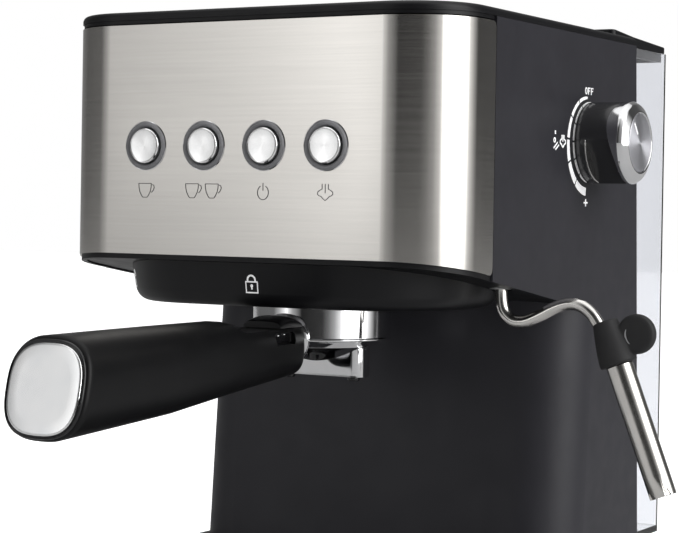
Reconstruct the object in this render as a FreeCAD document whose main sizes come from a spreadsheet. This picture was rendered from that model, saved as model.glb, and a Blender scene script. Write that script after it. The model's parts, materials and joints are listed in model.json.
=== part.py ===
import FreeCAD, Part
import Sketcher
import math
import os

# Espresso machine: housing, brew group, steam wand, portafilter, drip tray and water tank.
# Millimetres. The origin is the middle of the footprint on the worktop, +Z is up and the
# front of the machine faces -Y.

os.makedirs("parts", exist_ok=True)
doc = FreeCAD.newDocument("espresso_machine")
sheet = doc.addObject("Spreadsheet::Sheet", "Sizes")
sub_parts = []


class Size:
    """A length that knows its number and the spreadsheet expression that gives it."""

    def __init__(self, value, text):
        self.value = float(value)
        self.text = text

    def combine(self, other, sign, swap=False):
        left, right = (as_size(other), self) if swap else (self, as_size(other))
        if sign == "+":
            value = left.value + right.value
        elif sign == "-":
            value = left.value - right.value
        elif sign == "*":
            value = left.value * right.value
        else:
            value = left.value / right.value
        return Size(value, f"({left.text} {sign} {right.text})")

    def __add__(self, other):
        return self.combine(other, "+")

    def __sub__(self, other):
        return self.combine(other, "-")

    def __mul__(self, other):
        return self.combine(other, "*")

    def __truediv__(self, other):
        return self.combine(other, "/")

    def __radd__(self, other):
        return self.combine(other, "+", swap=True)

    def __rsub__(self, other):
        return self.combine(other, "-", swap=True)

    def __rmul__(self, other):
        return self.combine(other, "*", swap=True)

    def __neg__(self):
        return self * -1


def as_size(number_or_size):
    if isinstance(number_or_size, Size):
        return number_or_size
    return Size(number_or_size, f"({number_or_size})")


def number(number_or_size):
    return as_size(number_or_size).value


def size(name, value, meaning):
    """Put one driving dimension in the sheet and return it."""
    row = size.rows = getattr(size, "rows", 0) + 1
    sheet.set(f"A{row}", name)
    sheet.set(f"B{row}", str(value))
    sheet.set(f"C{row}", meaning)
    sheet.setAlias(f"B{row}", name)
    return Size(value, f"Sizes.{name}")


def bind(feature, property_name, length):
    """Give a property its value, and its expression when the length comes from the sheet."""
    setattr(feature, property_name, number(length))
    if isinstance(length, Size):
        feature.setExpression(property_name, length.text)


# ---------------------------------------------------------------- driving dimensions
width = size("width", 200, "housing width")
front = size("front", -120, "front plane of the head")
back = size("back", 121, "back of the water tank")
corner = size("corner", 31.5, "radius of the head's front corners")
wall = size("wall", 2.5, "moulded wall thickness")
steel = size("steel", 0.8, "sheet steel thickness")
gap = size("gap", 0.4, "running clearance between moving pieces")
foot_high = size("foot_high", 4, "height of the rubber feet")
base_top = size("base_top", 47.5, "top of the base housing")
floor_top = size("floor_top", 14, "top of the base floor under the drip tray")
head_low = size("head_low", 190, "lower edge of the steel at the front")
strip = size("strip", 2.1, "black strip that shows under the steel")
fall = size("fall", 0.15, "fall of the head's underside per millimetre of depth")
steel_top = size("steel_top", 289.5, "top edge of the steel panel")
side_top = size("side_top", 291.6, "top edge of the side walls")
cover_top = size("cover_top", 295.4, "top face of the top cover")
side_wrap = size("side_wrap", 40, "how far the steel reaches along each side")
column_low = size("column_low", 112.1, "depth of the column's front face at the base")
column_high = size("column_high", 130.5, "depth of the column's front face at the top")
column_corner = size("column_corner", 25, "radius of the column's front corners")
back_low = size("back_low", 204.4, "depth of the body's back at the base")
back_high = size("back_high", 192, "depth of the body's back at the top")
group_deep = size("group_deep", 70, "depth of the brew group's axis")
collar_wide = size("collar_wide", 168, "width of the collar at its top")
collar_draft = size("collar_draft", 4, "how much the collar narrows on each side")
collar_low = size("collar_low", 168.5, "underside of the collar")
collar_front = size("collar_front", 8, "depth of the collar's front face")
collar_back = size("collar_back", 119, "depth of the collar's back")
collar_corner = size("collar_corner", 46, "radius of the collar's corners in plan")
bowl_radius = size("bowl_radius", 31.5, "outer radius of the portafilter bowl")
bowl_top = size("bowl_top", 180, "rim of the portafilter bowl")
bowl_low = size("bowl_low", 153, "lower edge of the bowl's wall")
bowl_wall = size("bowl_wall", 3, "bowl wall thickness")
ear_reach = size("ear_reach", 38.5, "radius to the tip of the bayonet ears")
ring_reach = size("ring_reach", 44, "outer radius of the bayonet ring")
basket_radius = size("basket_radius", 27.2, "outer radius of the filter basket")
handle_end = size("handle_end", -129.5, "depth of the handle's front end at its lower edge")
end_tilt = size("end_tilt", 0.215, "how far the handle's end leans back per millimetre of height")
handle_wide = size("handle_wide", 38.4, "width and height of the handle's front end")
neck_low = size("neck_low", 149.6, "underside of the bowl's neck in the handle")
neck_top = size("neck_top", 157.6, "top of the bowl's neck in the handle")
handle_mid = size("handle_mid", 143, "height of the handle's axis at its front end")
button_row = size("button_row", 236.9, "height of the button row")
button_first = size("button_first", -48.4, "centre of the left-hand button")
button_step = size("button_step", 30.4, "spacing of the buttons")
button_radius = size("button_radius", 7.6, "radius of a button cap")
bezel_radius = size("bezel_radius", 10.4, "outer radius of a button's ring")
button_travel = size("button_travel", 1.5, "travel of a button")
stem_end = size("stem_end", 9.6, "how far a button's stem reaches behind the front plane")
knob_deep = size("knob_deep", 137, "depth of the steam knob's axis")
knob_high = size("knob_high", 242.8, "height of the steam knob's axis")
knob_radius = size("knob_radius", 18.6, "radius of the steam knob")
knob_out = size("knob_out", 25.5, "how far the knob stands out of the side")
wand_x = size("wand_x", 88, "steam wand's swivel axis, to the right of the middle")
wand_deep = size("wand_deep", 73.6, "depth of the steam wand's swivel axis")
wand_radius = size("wand_radius", 2.7, "radius of the wand's tube")
sleeve_radius = size("sleeve_radius", 5.7, "radius of the frothing sleeve")
tray_wide = size("tray_wide", 196, "width of the drip tray")
tray_front = size("tray_front", -4, "depth of the drip tray's front")
tray_back = size("tray_back", 109, "depth of the drip tray's back")
float_set_back = size("float_set_back", 15, "float's axis behind the front of the drip tray")
tray_top = size("tray_top", 47, "rim of the drip tray")
tank_wide = size("tank_wide", 194, "width of the water tank")
seat_top = size("seat_top", 50.5, "top of the raised seat under the water tank")
tank_low = size("tank_low", 52, "bottom of the water tank")
tank_top = size("tank_top", 291, "rim of the water tank")
tank_wall = size("tank_wall", 2.2, "wall thickness of the water tank")
tank_corner = size("tank_corner", 3.4, "radius of the tank's corners")
lid_top = size("lid_top", 298.4, "top of the tank lid at its front edge")
lid_mid = size("lid_mid", 296.5, "top of the tank lid over the back of the housing")
lid_rear = size("lid_rear", 294.5, "top of the tank lid at its back edge")
lid_front = size("lid_front", 174, "depth of the lid's front edge")
valve_deep = size("valve_deep", 222, "depth of the tank valve's axis")
pump_x = size("pump_x", -45, "pump's axis, to the right of the middle")
pump_deep = size("pump_deep", 160, "depth of the pump's axis")
pump_high = size("pump_high", 110, "height of the pump's middle")
group_high = size("group_high", 198, "top of the cast group head")
block_tall = size("block_tall", 34, "height of the thermoblock")
mount_radius = size("mount_radius", 16, "outer radius of a pump mount")
pipe_radius = size("pipe_radius", 2, "radius of the steam pipes")
doc.recompute()

half = width / 2
block_top = group_high + 0.1 + block_tall
back_shift = (back_high - back_low) / (side_top - base_top)
column_shift = (column_high - column_low) / (side_top - base_top)


def deep(depth):
    """Y of a point that lies this far behind the front plane of the head."""
    return front + depth


def under(depth):
    """Height of the head's sloping underside at a depth."""
    return head_low - strip - fall * depth


def body_back(height):
    """Depth of the body's leaning back wall at a height."""
    return back_low + back_shift * (height - base_top)


def column_front(height):
    """Depth of the column's leaning front face at a height."""
    return column_low + column_shift * (height - base_top)


# ---------------------------------------------------------------- sketch and feature helpers
def new_body(label):
    """A PartDesign body that becomes one sub-part."""
    body = doc.addObject("PartDesign::Body", label)
    body.Label = label
    sub_parts.append(body)
    return body


def sketch(body, plane="XY", lift=0):
    """A sketch on one of the body's own origin planes, moved along the plane's normal."""
    drawing = body.newObject("Sketcher::SketchObject", f"{body.Name}_sketch")
    origin = next(f for f in body.Origin.OriginFeatures if f.Role == f"{plane}_Plane")
    drawing.AttachmentSupport = [(origin, "")]
    drawing.MapMode = "FlatFace"
    drawing.AttachmentOffset = FreeCAD.Placement(FreeCAD.Vector(0, 0, number(lift)), FreeCAD.Rotation())
    if isinstance(lift, Size):
        drawing.setExpression("AttachmentOffset.Base.z", lift.text)
    drawing.Visibility = False
    return drawing


def measure(drawing, kind, *arguments):
    """Add a dimension to a sketch and bind it to the sheet."""
    length = arguments[-1]
    index = drawing.addConstraint(Sketcher.Constraint(kind, *arguments[:-1], number(length)))
    if isinstance(length, Size):
        drawing.setExpression(f"Constraints[{index}]", length.text)


def fix_point(drawing, geometry, end, x, y):
    measure(drawing, "DistanceX", -1, 1, geometry, end, x)
    measure(drawing, "DistanceY", -1, 1, geometry, end, y)


def outline(drawing, points):
    """A closed outline of straight sides through the given points."""
    first = drawing.GeometryCount
    count = len(points)
    places = [FreeCAD.Vector(number(x), number(y), 0) for x, y in points]
    for i in range(count):
        drawing.addGeometry(Part.LineSegment(places[i], places[(i + 1) % count]))
    for i in range(count):
        following = first + (i + 1) % count
        drawing.addConstraint(Sketcher.Constraint("Coincident", first + i, 2, following, 1))
    for i, (x, y) in enumerate(points):
        fix_point(drawing, first + i, 1, x, y)
    return drawing


def block(drawing, left, right, low, high):
    return outline(drawing, [(left, low), (right, low), (right, high), (left, high)])


def circle(drawing, x, y, radius):
    place = FreeCAD.Vector(number(x), number(y), 0)
    index = drawing.addGeometry(Part.Circle(place, FreeCAD.Vector(0, 0, 1), number(radius)))
    fix_point(drawing, index, 3, x, y)
    measure(drawing, "Radius", index, radius)
    return drawing


def rounded(drawing, left, right, low, high, radius):
    """A rectangle whose four corners are tangent arcs."""
    first = drawing.GeometryCount
    x0, x1, y0, y1 = (number(value) for value in (left, right, low, high))
    r = number(radius)
    up = FreeCAD.Vector(0, 0, 1)
    corners = [(x1 - r, y0 + r, -90), (x1 - r, y1 - r, 0), (x0 + r, y1 - r, 90), (x0 + r, y0 + r, 180)]
    sides = [((x0 + r, y0), (x1 - r, y0)), ((x1, y0 + r), (x1, y1 - r)),
             ((x1 - r, y1), (x0 + r, y1)), ((x0, y1 - r), (x0, y0 + r))]
    for (start, end), (x, y, turn) in zip(sides, corners):
        drawing.addGeometry(Part.LineSegment(FreeCAD.Vector(*start, 0), FreeCAD.Vector(*end, 0)))
        ring = Part.Circle(FreeCAD.Vector(x, y, 0), up, r)
        drawing.addGeometry(Part.ArcOfCircle(ring, math.radians(turn), math.radians(turn + 90)))
    for i in range(4):
        side, arc, following = first + 2 * i, first + 2 * i + 1, first + (2 * i + 2) % 8
        drawing.addConstraint(Sketcher.Constraint("Tangent", side, 2, arc, 1))
        drawing.addConstraint(Sketcher.Constraint("Tangent", arc, 2, following, 1))
        drawing.addConstraint(Sketcher.Constraint("Vertical" if i % 2 else "Horizontal", side))
        if i:
            drawing.addConstraint(Sketcher.Constraint("Equal", first + 1, arc))
    measure(drawing, "Radius", first + 1, radius)
    measure(drawing, "DistanceY", -1, 1, first, 1, low)
    measure(drawing, "DistanceX", -1, 1, first + 2, 1, right)
    measure(drawing, "DistanceY", -1, 1, first + 4, 1, high)
    measure(drawing, "DistanceX", -1, 1, first + 6, 1, left)
    return drawing


def feature(body, kind, profile=None):
    """A PartDesign feature that becomes the body's tip."""
    made = body.newObject(f"PartDesign::{kind}", f"{body.Name}_{kind.lower()}")
    if profile is not None:
        made.Profile = profile
    body.Tip = made
    return made


def pad(body, profile, length, middle=False, reverse=False):
    """Extrude a profile along its plane's normal."""
    made = feature(body, "Pad", profile)
    bind(made, "Length", length)
    made.Midplane = middle
    made.Reversed = reverse
    return made


def pocket(body, profile, length, middle=False, reverse=False):
    """Cut a profile against its plane's normal, and check that material went."""
    doc.recompute()
    before = body.Shape.Volume
    made = feature(body, "Pocket", profile)
    bind(made, "Length", length)
    made.Midplane = middle
    made.Reversed = reverse
    doc.recompute()
    if body.Shape.Volume > before - 1e-3:
        raise RuntimeError(f"{made.Name} cuts nothing")
    return made


def repeat(body, cut, axis, span, count):
    """Repeat a feature in a row along an axis of its own sketch."""
    made = feature(body, "LinearPattern")
    made.Originals = [cut]
    made.Direction = (cut.Profile[0], [axis])
    made.Length = span
    made.Occurrences = count
    return made


def turned(body, profile, kind="Revolution"):
    """Turn a profile about its own vertical axis."""
    made = feature(body, kind, profile)
    made.ReferenceAxis = (profile, ["V_Axis"])
    made.Angle = 360
    return made


def loft(body, profiles, kind="AdditiveLoft", ruled=False):
    made = feature(body, kind, profiles[0])
    made.Sections = profiles[1:]
    made.Ruled = ruled
    return made


def soften(body, radius, wanted, kind="Fillet"):
    """Round or chamfer the edges of the body that the test picks."""
    doc.recompute()
    names = [f"Edge{i + 1}" for i, edge in enumerate(body.Tip.Shape.Edges) if wanted(edge)]
    if not names:
        raise RuntimeError(f"{body.Name}: no edge to soften")
    base = body.Tip
    made = feature(body, kind)
    made.Base = (base, names)
    bind(made, "Radius" if kind == "Fillet" else "Size", radius)
    return made


def place(part, x=0, y=0, z=0, axis=(0, 0, 1), angle=0):
    """Set a sub-part's placement, bound to the sheet where a coordinate comes from it."""
    base = FreeCAD.Vector(number(x), number(y), number(z))
    part.Placement = FreeCAD.Placement(base, FreeCAD.Rotation(FreeCAD.Vector(*axis), angle))
    for letter, length in zip("xyz", (x, y, z)):
        if isinstance(length, Size):
            part.setExpression(f"Placement.Base.{letter}", length.text)
    return part


def all_at(edge, height, spread=0.05):
    """True for an edge that lies at one height."""
    box = edge.BoundBox
    return abs(box.ZMin - height) < spread and abs(box.ZMax - height) < spread


def spun(label, profile, x=0, y=0, z=0, axis=(0, 0, 1), angle=0):
    """A turned piece: its profile is (radius, height) points about its own Z axis."""
    body = new_body(label)
    turned(body, outline(sketch(body, "XZ"), profile))
    return place(body, x, y, z, axis, angle)


def cylinder(radius, length, x, y, z, direction=(0, 0, 1)):
    """A bound Part cylinder that starts at a point and runs along a direction."""
    made = doc.addObject("Part::Cylinder", "cylinder")
    bind(made, "Radius", radius)
    bind(made, "Height", length)
    turn = FreeCAD.Rotation(FreeCAD.Vector(0, 0, 1), FreeCAD.Vector(*direction))
    place(made, x, y, z, tuple(turn.Axis), math.degrees(turn.Angle))
    return made


def box(left, right, near, far, low, high):
    """A bound Part box between six planes."""
    made = doc.addObject("Part::Box", "box")
    bind(made, "Length", as_size(right) - left)
    bind(made, "Width", as_size(far) - near)
    bind(made, "Height", as_size(high) - low)
    return place(made, left, near, low)


def joined(label, pieces, kind="Part::MultiFuse"):
    """Fuse pieces into one sub-part."""
    made = doc.addObject(kind, label)
    made.Label = label
    if kind == "Part::Compound":
        made.Links = pieces
    else:
        made.Shapes = pieces
    sub_parts.append(made)
    return made


def less(label, base, tool):
    """One piece cut by another."""
    made = doc.addObject("Part::Cut", label)
    made.Label = label
    made.Base = base
    made.Tool = tool
    return made


def tube(label, points, radius, bore, bend):
    """A pipe of straight runs joined by tangent arcs."""
    places = [FreeCAD.Vector(*(number(value) for value in point)) for point in points]
    edges = []
    start = places[0]
    for before, here, after in zip(places, places[1:], places[2:]):
        into, out = (here - before).normalize(), (after - here).normalize()
        turn = into.getAngle(out)
        cut = bend * math.tan(turn / 2)
        first, last = here - into * cut, here + out * cut
        toward = (out - into).normalize()
        middle = here + toward * (bend / math.cos(turn / 2) - bend)
        edges.append(Part.LineSegment(start, first).toShape())
        edges.append(Part.Arc(first, middle, last).toShape())
        start = last
    edges.append(Part.LineSegment(start, places[-1]).toShape())
    path = Part.Wire(edges)
    direction = (places[1] - places[0]).normalize()
    outside = Part.Wire(Part.makeCircle(number(radius), places[0], direction))
    solid = path.makePipeShell([outside], True, False)
    if bore:
        inside = Part.Wire(Part.makeCircle(bore, places[0], direction))
        solid = solid.cut(path.makePipeShell([inside], True, False))
    made = doc.addObject("Part::Feature", label)
    made.Label = label
    made.Shape = solid
    sub_parts.append(made)
    return made


# ---------------------------------------------------------------- housing
def column_outline(body, inset, height, rear=0):
    """The column's rounded plan at a height, inset from its outer skin and run on past the back."""
    near = deep(column_front(height)) + inset
    far = deep(body_back(height)) + rear
    drawing = sketch(body, "XY", height)
    return rounded(drawing, -half + inset, half - inset, near, far, column_corner - inset)


def body_shell():
    """Column and side walls in one moulding, open at the back and into the head."""
    body = new_body("body_shell")
    square = column_corner + 2
    loft(body, [column_outline(body, 0, base_top, square), column_outline(body, 0, side_top, square)],
         ruled=True)
    for side in (-1, 1):
        wall_plane = half - wall if side > 0 else -half
        walls = sketch(body, "YZ", wall_plane)
        corner_start = side_wrap + gap
        outline(walls, [(deep(corner_start), under(corner_start)), (deep(160), under(160)),
                        (deep(160), side_top), (deep(corner_start), side_top)])
        pad(body, walls, wall)
    low, high = base_top + wall, side_top + 1
    inner = [column_outline(body, wall, level, square * 2) for level in (base_top - 1, high)]
    loft(body, inner, "SubtractiveLoft", ruled=True)
    rear = sketch(body, "YZ")
    outline(rear, [(deep(body_back(base_top - 1)), base_top - 1), (deep(back_low + 60), base_top - 1),
                   (deep(back_low + 60), high), (deep(body_back(high)), high)])
    pocket(body, rear, width * 2, middle=True)
    window = sketch(body, "XZ", -deep(column_high + 15))
    block(window, -half + wall * 2, half - wall * 2, under(0) - 5, high)
    pocket(body, window, 60, reverse=True)
    spindle_hole = sketch(body, "YZ", half - wall * 2)
    circle(spindle_hole, deep(knob_deep), knob_high, 6)
    pocket(body, spindle_hole, wall * 3, reverse=True)


def rear_cover():
    """Flat cover that closes the column behind, where the tank docks."""
    body = new_body("rear_cover")
    side = sketch(body, "YZ")
    low, high = base_top + gap, side_top
    outline(side, [(deep(body_back(low)) - wall - 0.5, low), (deep(body_back(low)) - 0.5, low),
                   (deep(body_back(high)) - 0.5, high), (deep(body_back(high)) - wall - 0.5, high)])
    pad(body, side, width - 2 * wall - 0.2, middle=True)


def head_outline(body, inset, lift, far):
    """The head's plan, with rounded front corners; the rear ones are cut away later."""
    drawing = sketch(body, "XY", lift)
    return rounded(drawing, -half + inset, half - inset, front + inset, far, corner - inset)


def cut_wrap(body, low_margin, reach):
    """Keep only the wrap along the front and sides, above the sloping lower edge."""
    beyond = sketch(body, "YZ")
    clear = 10
    end, far = deep(reach), deep(reach) + width
    outline(beyond, [(front - clear, low_margin + fall * clear), (end, low_margin - fall * reach),
                     (end, steel_top + clear), (far, steel_top + clear), (far, head_low - 60),
                     (front - clear, head_low - 60)])
    pocket(body, beyond, width * 2, middle=True)


def button_places():
    return [button_first + button_step * i for i in range(4)]


def front_panel():
    """Brushed steel sheet bent round the front of the head."""
    body = new_body("front_panel")
    spare = 20
    far = deep(side_wrap + corner * 2)
    pad(body, head_outline(body, 0, head_low - spare, far), steel_top - head_low + spare)
    pocket(body, head_outline(body, steel, head_low - spare - 1, far + spare), width, reverse=True)
    cut_wrap(body, head_low, side_wrap)
    holes = sketch(body, "XZ", -front - 5)
    for x in button_places():
        circle(holes, x, button_row, bezel_radius - 1)
    pocket(body, holes, 10 + steel, middle=True)


def front_frame():
    """Moulded frame behind the steel sheet, which shows as a strip under it."""
    body = new_body("front_frame")
    inset = steel + 0.05
    spare = 30
    far = deep(side_wrap + corner * 2)
    pad(body, head_outline(body, inset, head_low - spare, far), steel_top - head_low + spare)
    pocket(body, head_outline(body, inset + wall, head_low - spare - 1, far + spare), width, reverse=True)
    cut_wrap(body, head_low - strip, side_wrap)
    holes = sketch(body, "XZ", -front - 5)
    for x in button_places():
        circle(holes, x, button_row, bezel_radius - 1)
    pocket(body, holes, 20, middle=True)


def underside_panel():
    """Sloping panel that closes the head below, with openings for the brew group and the wand."""
    body = new_body("underside_panel")
    inset = wall + steel + 0.3
    pad(body, head_outline(body, inset, head_low - 50, deep(column_high + 60)), 60)
    clear, far, lift = 5, column_high + 80, 0.6
    for offset, beyond in ((lift, head_low - 70), (lift + wall, head_low + 40)):
        slope = sketch(body, "YZ")
        outline(slope, [(front - clear, under(-clear) + offset), (deep(far), under(far) + offset),
                        (deep(far), beyond), (front - clear, beyond)])
        pocket(body, slope, width * 2, middle=True)
    column = [column_outline(body, -0.2, level, 60) for level in (base_top, side_top)]
    loft(body, column, "SubtractiveLoft", ruled=True)
    opening = sketch(body, "XY", head_low - 60)
    rounded(opening, -collar_wide / 2 + 6, collar_wide / 2 - 6, deep(collar_front + 6),
            deep(collar_back - 4), collar_corner - 6)
    pocket(body, opening, 90, reverse=True)
    swivel = sketch(body, "XY", head_low - 60)
    circle(swivel, wand_x, deep(wand_deep), wand_radius + 2.5)
    pocket(body, swivel, 90, reverse=True)


def top_cover():
    """Moulded cover with a soft edge and a shallow seat for the warming plate."""
    body = new_body("top_cover")
    rear = deep(back_high) + corner * 2
    low = side_top + 0.1
    plan = sketch(body, "XY", low)
    rounded(plan, -half, half, front, rear, corner)
    pad(body, plan, cover_top - low)
    soften(body, 2.6, lambda edge: all_at(edge, cover_top.value))
    lip = sketch(body, "XY", low)
    rounded(lip, -half + 0.6, half - 0.6, front + 0.6, deep(side_wrap + corner * 2), corner - 0.6)
    pad(body, lip, low - steel_top - 0.6, reverse=True)
    inside = sketch(body, "XY", low)
    block(inside, -half + 14, half - 14, front + 12, deep(side_wrap + corner * 2 + 5))
    block(inside, -half - 5, -half + 14, deep(side_wrap - 1), deep(side_wrap + corner * 2 + 5))
    block(inside, half - 14, half + 5, deep(side_wrap - 1), deep(side_wrap + corner * 2 + 5))
    pocket(body, inside, 10)
    flat_rear = sketch(body, "XY", steel_top - 5)
    block(flat_rear, -half - 5, half + 5, deep(back_high), rear + 5)
    pocket(body, flat_rear, 30, reverse=True)
    seat = sketch(body, "XY", cover_top)
    rounded(seat, -half + 16, half - 16, front + 16, deep(lid_front - 14), corner - 14)
    pocket(body, seat, 1.6)


def warming_plate():
    """Perforated steel plate that warms cups on top of the machine."""
    body = new_body("warming_plate")
    plan = sketch(body, "XY", cover_top - 1.5)
    rounded(plan, -half + 16.6, half - 16.6, front + 16.6, deep(lid_front - 14.6), corner - 14.6)
    pad(body, plan, 1.2)
    slots = sketch(body, "XY", cover_top)
    for x in (-60, 0, 60):
        rounded(slots, x - 22, x + 22, front + 36, front + 41, 2.4)
    repeat(body, pocket(body, slots, 5), "V_Axis", 100, 6)


def base_pan():
    """Base moulding: a floor under the drip tray and a raised seat for column and tank."""
    body = new_body("base_pan")
    plan = sketch(body, "XY", foot_high)
    rounded(plan, -half, half, front, back, 18)
    pad(body, plan, base_top - foot_high)
    seat = sketch(body, "XY", base_top)
    rounded(seat, -tank_wide / 2 + 8, tank_wide / 2 - 8, deep(back_low + 8), back - 8, 4)
    pad(body, seat, seat_top - base_top)
    bay = sketch(body, "XY", base_top + 1)
    block(bay, -half - 5, half + 5, front - 5, deep(tray_back) + gap + 0.6)
    pocket(body, bay, base_top - floor_top + 1)
    hollow = sketch(body, "XY", foot_high - 1)
    block(hollow, -half + 6, half - 6, deep(tray_back + 8), back - 14)
    pocket(body, hollow, base_top - foot_high - wall + 1, reverse=True)
    cable_hole = sketch(body, "XZ", -back - 1)
    circle(cable_hole, -60, 24, 6)
    pocket(body, cable_hole, 20, reverse=True)
    soften(body, 2, lambda edge: all_at(edge, foot_high.value)
           and (edge.BoundBox.YMin < front.value + 19 or edge.BoundBox.YMax > back.value - 13))


def feet():
    """Four rubber feet, one group."""
    pads = []
    for x in (-half + 22, half - 22):
        for y in (front + 22, back - 22):
            pads.append(cylinder(9, foot_high, x, y, 0))
    joined("feet", pads, "Part::Compound")


def base_floor():
    """Plate that closes the hollow rear of the base."""
    body = new_body("base_floor")
    plan = sketch(body, "XY", foot_high)
    block(plan, -half + 6.2, half - 6.2, deep(tray_back + 8.2), back - 14.2)
    pad(body, plan, 2)


def power_gland():
    """Moulded gland in the back of the base where the mains lead enters."""
    profile = [(3.5, 0), (9, 0), (9, 2.4), (5.8, 2.4), (5.8, 17), (8.2, 17), (8.2, 19), (3.5, 19)]
    spun("power_gland", profile, x=-60, y=back + 2.4, z=24, axis=(1, 0, 0), angle=90)


def case_screws():
    """Screws that hold the base to the housing, one group."""
    screws = []
    for x in (-70, 70):
        for y in (deep(tray_back) + 22, back - 30):
            head = cylinder(3.6, 2.2, x, y, foot_high + 2.1)
            shank = cylinder(1.6, 10, x, y, foot_high + 4.2)
            screw = doc.addObject("Part::Fuse", "screw")
            screw.Base = head
            screw.Tool = shank
            screws.append(screw)
    joined("case_screws", screws, "Part::Compound")


# ---------------------------------------------------------------- brew group
def group_collar():
    """Moulded dish under the head, round the bayonet ring."""
    body = new_body("group_collar")
    high = head_low + 2
    side = collar_wide / 2 - collar_draft
    plan = sketch(body, "XY", collar_low)
    rounded(plan, -side, side, deep(collar_front), deep(collar_back), collar_corner)
    dish = pad(body, plan, high - collar_low)
    dish.TaperAngle = math.degrees(math.atan2(collar_draft.value, (high - collar_low).value))
    soften(body, 7, lambda edge: all_at(edge, collar_low.value))
    inside = sketch(body, "XY", high + 1)
    rounded(inside, -side + wall, side - wall, deep(collar_front) + wall, deep(collar_back) - wall,
            collar_corner - wall)
    pocket(body, inside, high + 1 - collar_low - wall * 2)
    slope = sketch(body, "YZ")
    far = collar_back + 20
    outline(slope, [(front - 5, under(-5) + 0.5), (deep(far), under(far) + 0.5), (deep(far), high + 20),
                    (front - 5, high + 20)])
    pocket(body, slope, width * 2, middle=True)
    mouth = sketch(body, "XY", collar_low - 1)
    circle(mouth, 0, deep(group_deep), ring_reach + 0.2)
    pocket(body, mouth, 30, reverse=True)


def bayonet_ring():
    """Cast ring whose lip carries the portafilter's ears."""
    lip = bowl_radius + 1.2
    channel = ear_reach + 0.8
    low = collar_low + 1
    body = new_body("bayonet_ring")
    ledge, top = 175.6, 186
    turned(body, outline(sketch(body, "XZ"), [
        (lip, low), (ring_reach, low), (ring_reach, top), (channel, top), (channel, ledge), (lip, ledge)]))
    notch = sketch(body, "XY", low - 1)
    block(notch, -channel, channel, -8.5, 8.5)
    pocket(body, notch, ledge - low + 1, reverse=True)
    place(body, 0, deep(group_deep), 0, angle=-45)


def group_head():
    """Cast head over the filter, with the water outlet and the seat for gasket and screen."""
    body = new_body("group_head")
    turned(body, outline(sketch(body, "XZ"), [
        (0, 184.6), (23, 184.6), (23, 187), (31.5, 187), (31.5, 186.1), (ring_reach, 186.1),
        (ring_reach, group_high), (0, group_high)]))
    drill = sketch(body, "XY", 180)
    circle(drill, 10, 0, 1.5)
    circle(drill, -10, 0, 1.5)
    pocket(body, drill, 18.5, reverse=True)
    place(body, 0, deep(group_deep), 0)


def group_pieces():
    """Gasket, shower screen and its screw."""
    y = deep(group_deep)
    spun("group_gasket", [(24, 181.1), (31, 181.1), (31, 186.9), (24, 186.9)], y=y)
    spun("shower_screen", [(2.2, 181.6), (22.6, 181.6), (22.6, 184.5), (21.8, 184.5), (21.8, 182.4),
                           (2.2, 182.4)], y=y)
    spun("shower_screw", [(0, 180.4), (2.5, 180.4), (4, 181.5), (2, 181.5), (2, 184.5), (0, 184.5)], y=y)


def boiler():
    """Thermoblock over the group head, with pockets that show the cast-in heater's ends."""
    body = new_body("boiler")
    y = deep(group_deep)
    plan = sketch(body, "XY", group_high + 0.1)
    rounded(plan, -40, 40, y - 34, y + 34, 12)
    pad(body, plan, block_tall)
    for x in (-23, 23):
        ends = sketch(body, "XY", block_top)
        circle(ends, x, y + 22, 4)
        pad(body, ends, 9)
    soften(body, 2, lambda edge: all_at(edge, block_top.value) and edge.BoundBox.XLength > 30)


def boiler_bolts():
    """Four bolts through the thermoblock, one group."""
    bolts = []
    for x in (-32, 32):
        for y in (deep(group_deep) - 26, deep(group_deep) + 26):
            bolts.append(cylinder(3.6, 3.4, x, y, block_top + 0.1))
    joined("boiler_bolts", bolts, "Part::Compound")


def boiler_sensors():
    """Thermostat and thermal fuse, clipped to the top of the thermoblock."""
    spun("thermostat", [(0, 0), (8, 0), (8, 4.8), (6, 4.8), (6, 7.8), (0, 7.8)],
         y=deep(56), z=block_top + 0.1)
    radius = 2.4
    fuse = cylinder(radius, 22, -11, deep(83), block_top + radius + 0.3, (1, 0, 0))
    fuse.Label = "thermal_fuse"
    sub_parts.append(fuse)


# ---------------------------------------------------------------- water path
def pump():
    """Vibratory pump: coil frame, core tube and outlet nipple."""
    body = new_body("pump")
    coil = sketch(body, "XY", -22)
    rounded(coil, -19, 19, -19, 19, 4)
    pad(body, coil, 44)
    turned(body, outline(sketch(body, "XZ"), [(0, -44), (5, -44), (5, -30), (10, -30), (10, 34), (4, 34),
                                              (4, 42), (0, 42)]))
    place(body, pump_x, deep(pump_deep), pump_high)


def pump_mounts():
    """Two rubber mounts that carry the pump, one group."""
    mounts = []
    y = deep(pump_deep)
    for z in (pump_high - 29, pump_high + 23):
        hole = cylinder(10.1, 8, pump_x, y, z - 1)
        ring = less("mount", cylinder(mount_radius, 6, pump_x, y, z), hole)
        foot = box(pump_x - 17, pump_x + 17, y + 14, y + 18, z, z + 6)
        mount = doc.addObject("Part::Fuse", "mount_body")
        mount.Base = ring
        mount.Tool = foot
        mounts.append(mount)
    joined("pump_mounts", mounts, "Part::Compound")


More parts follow.
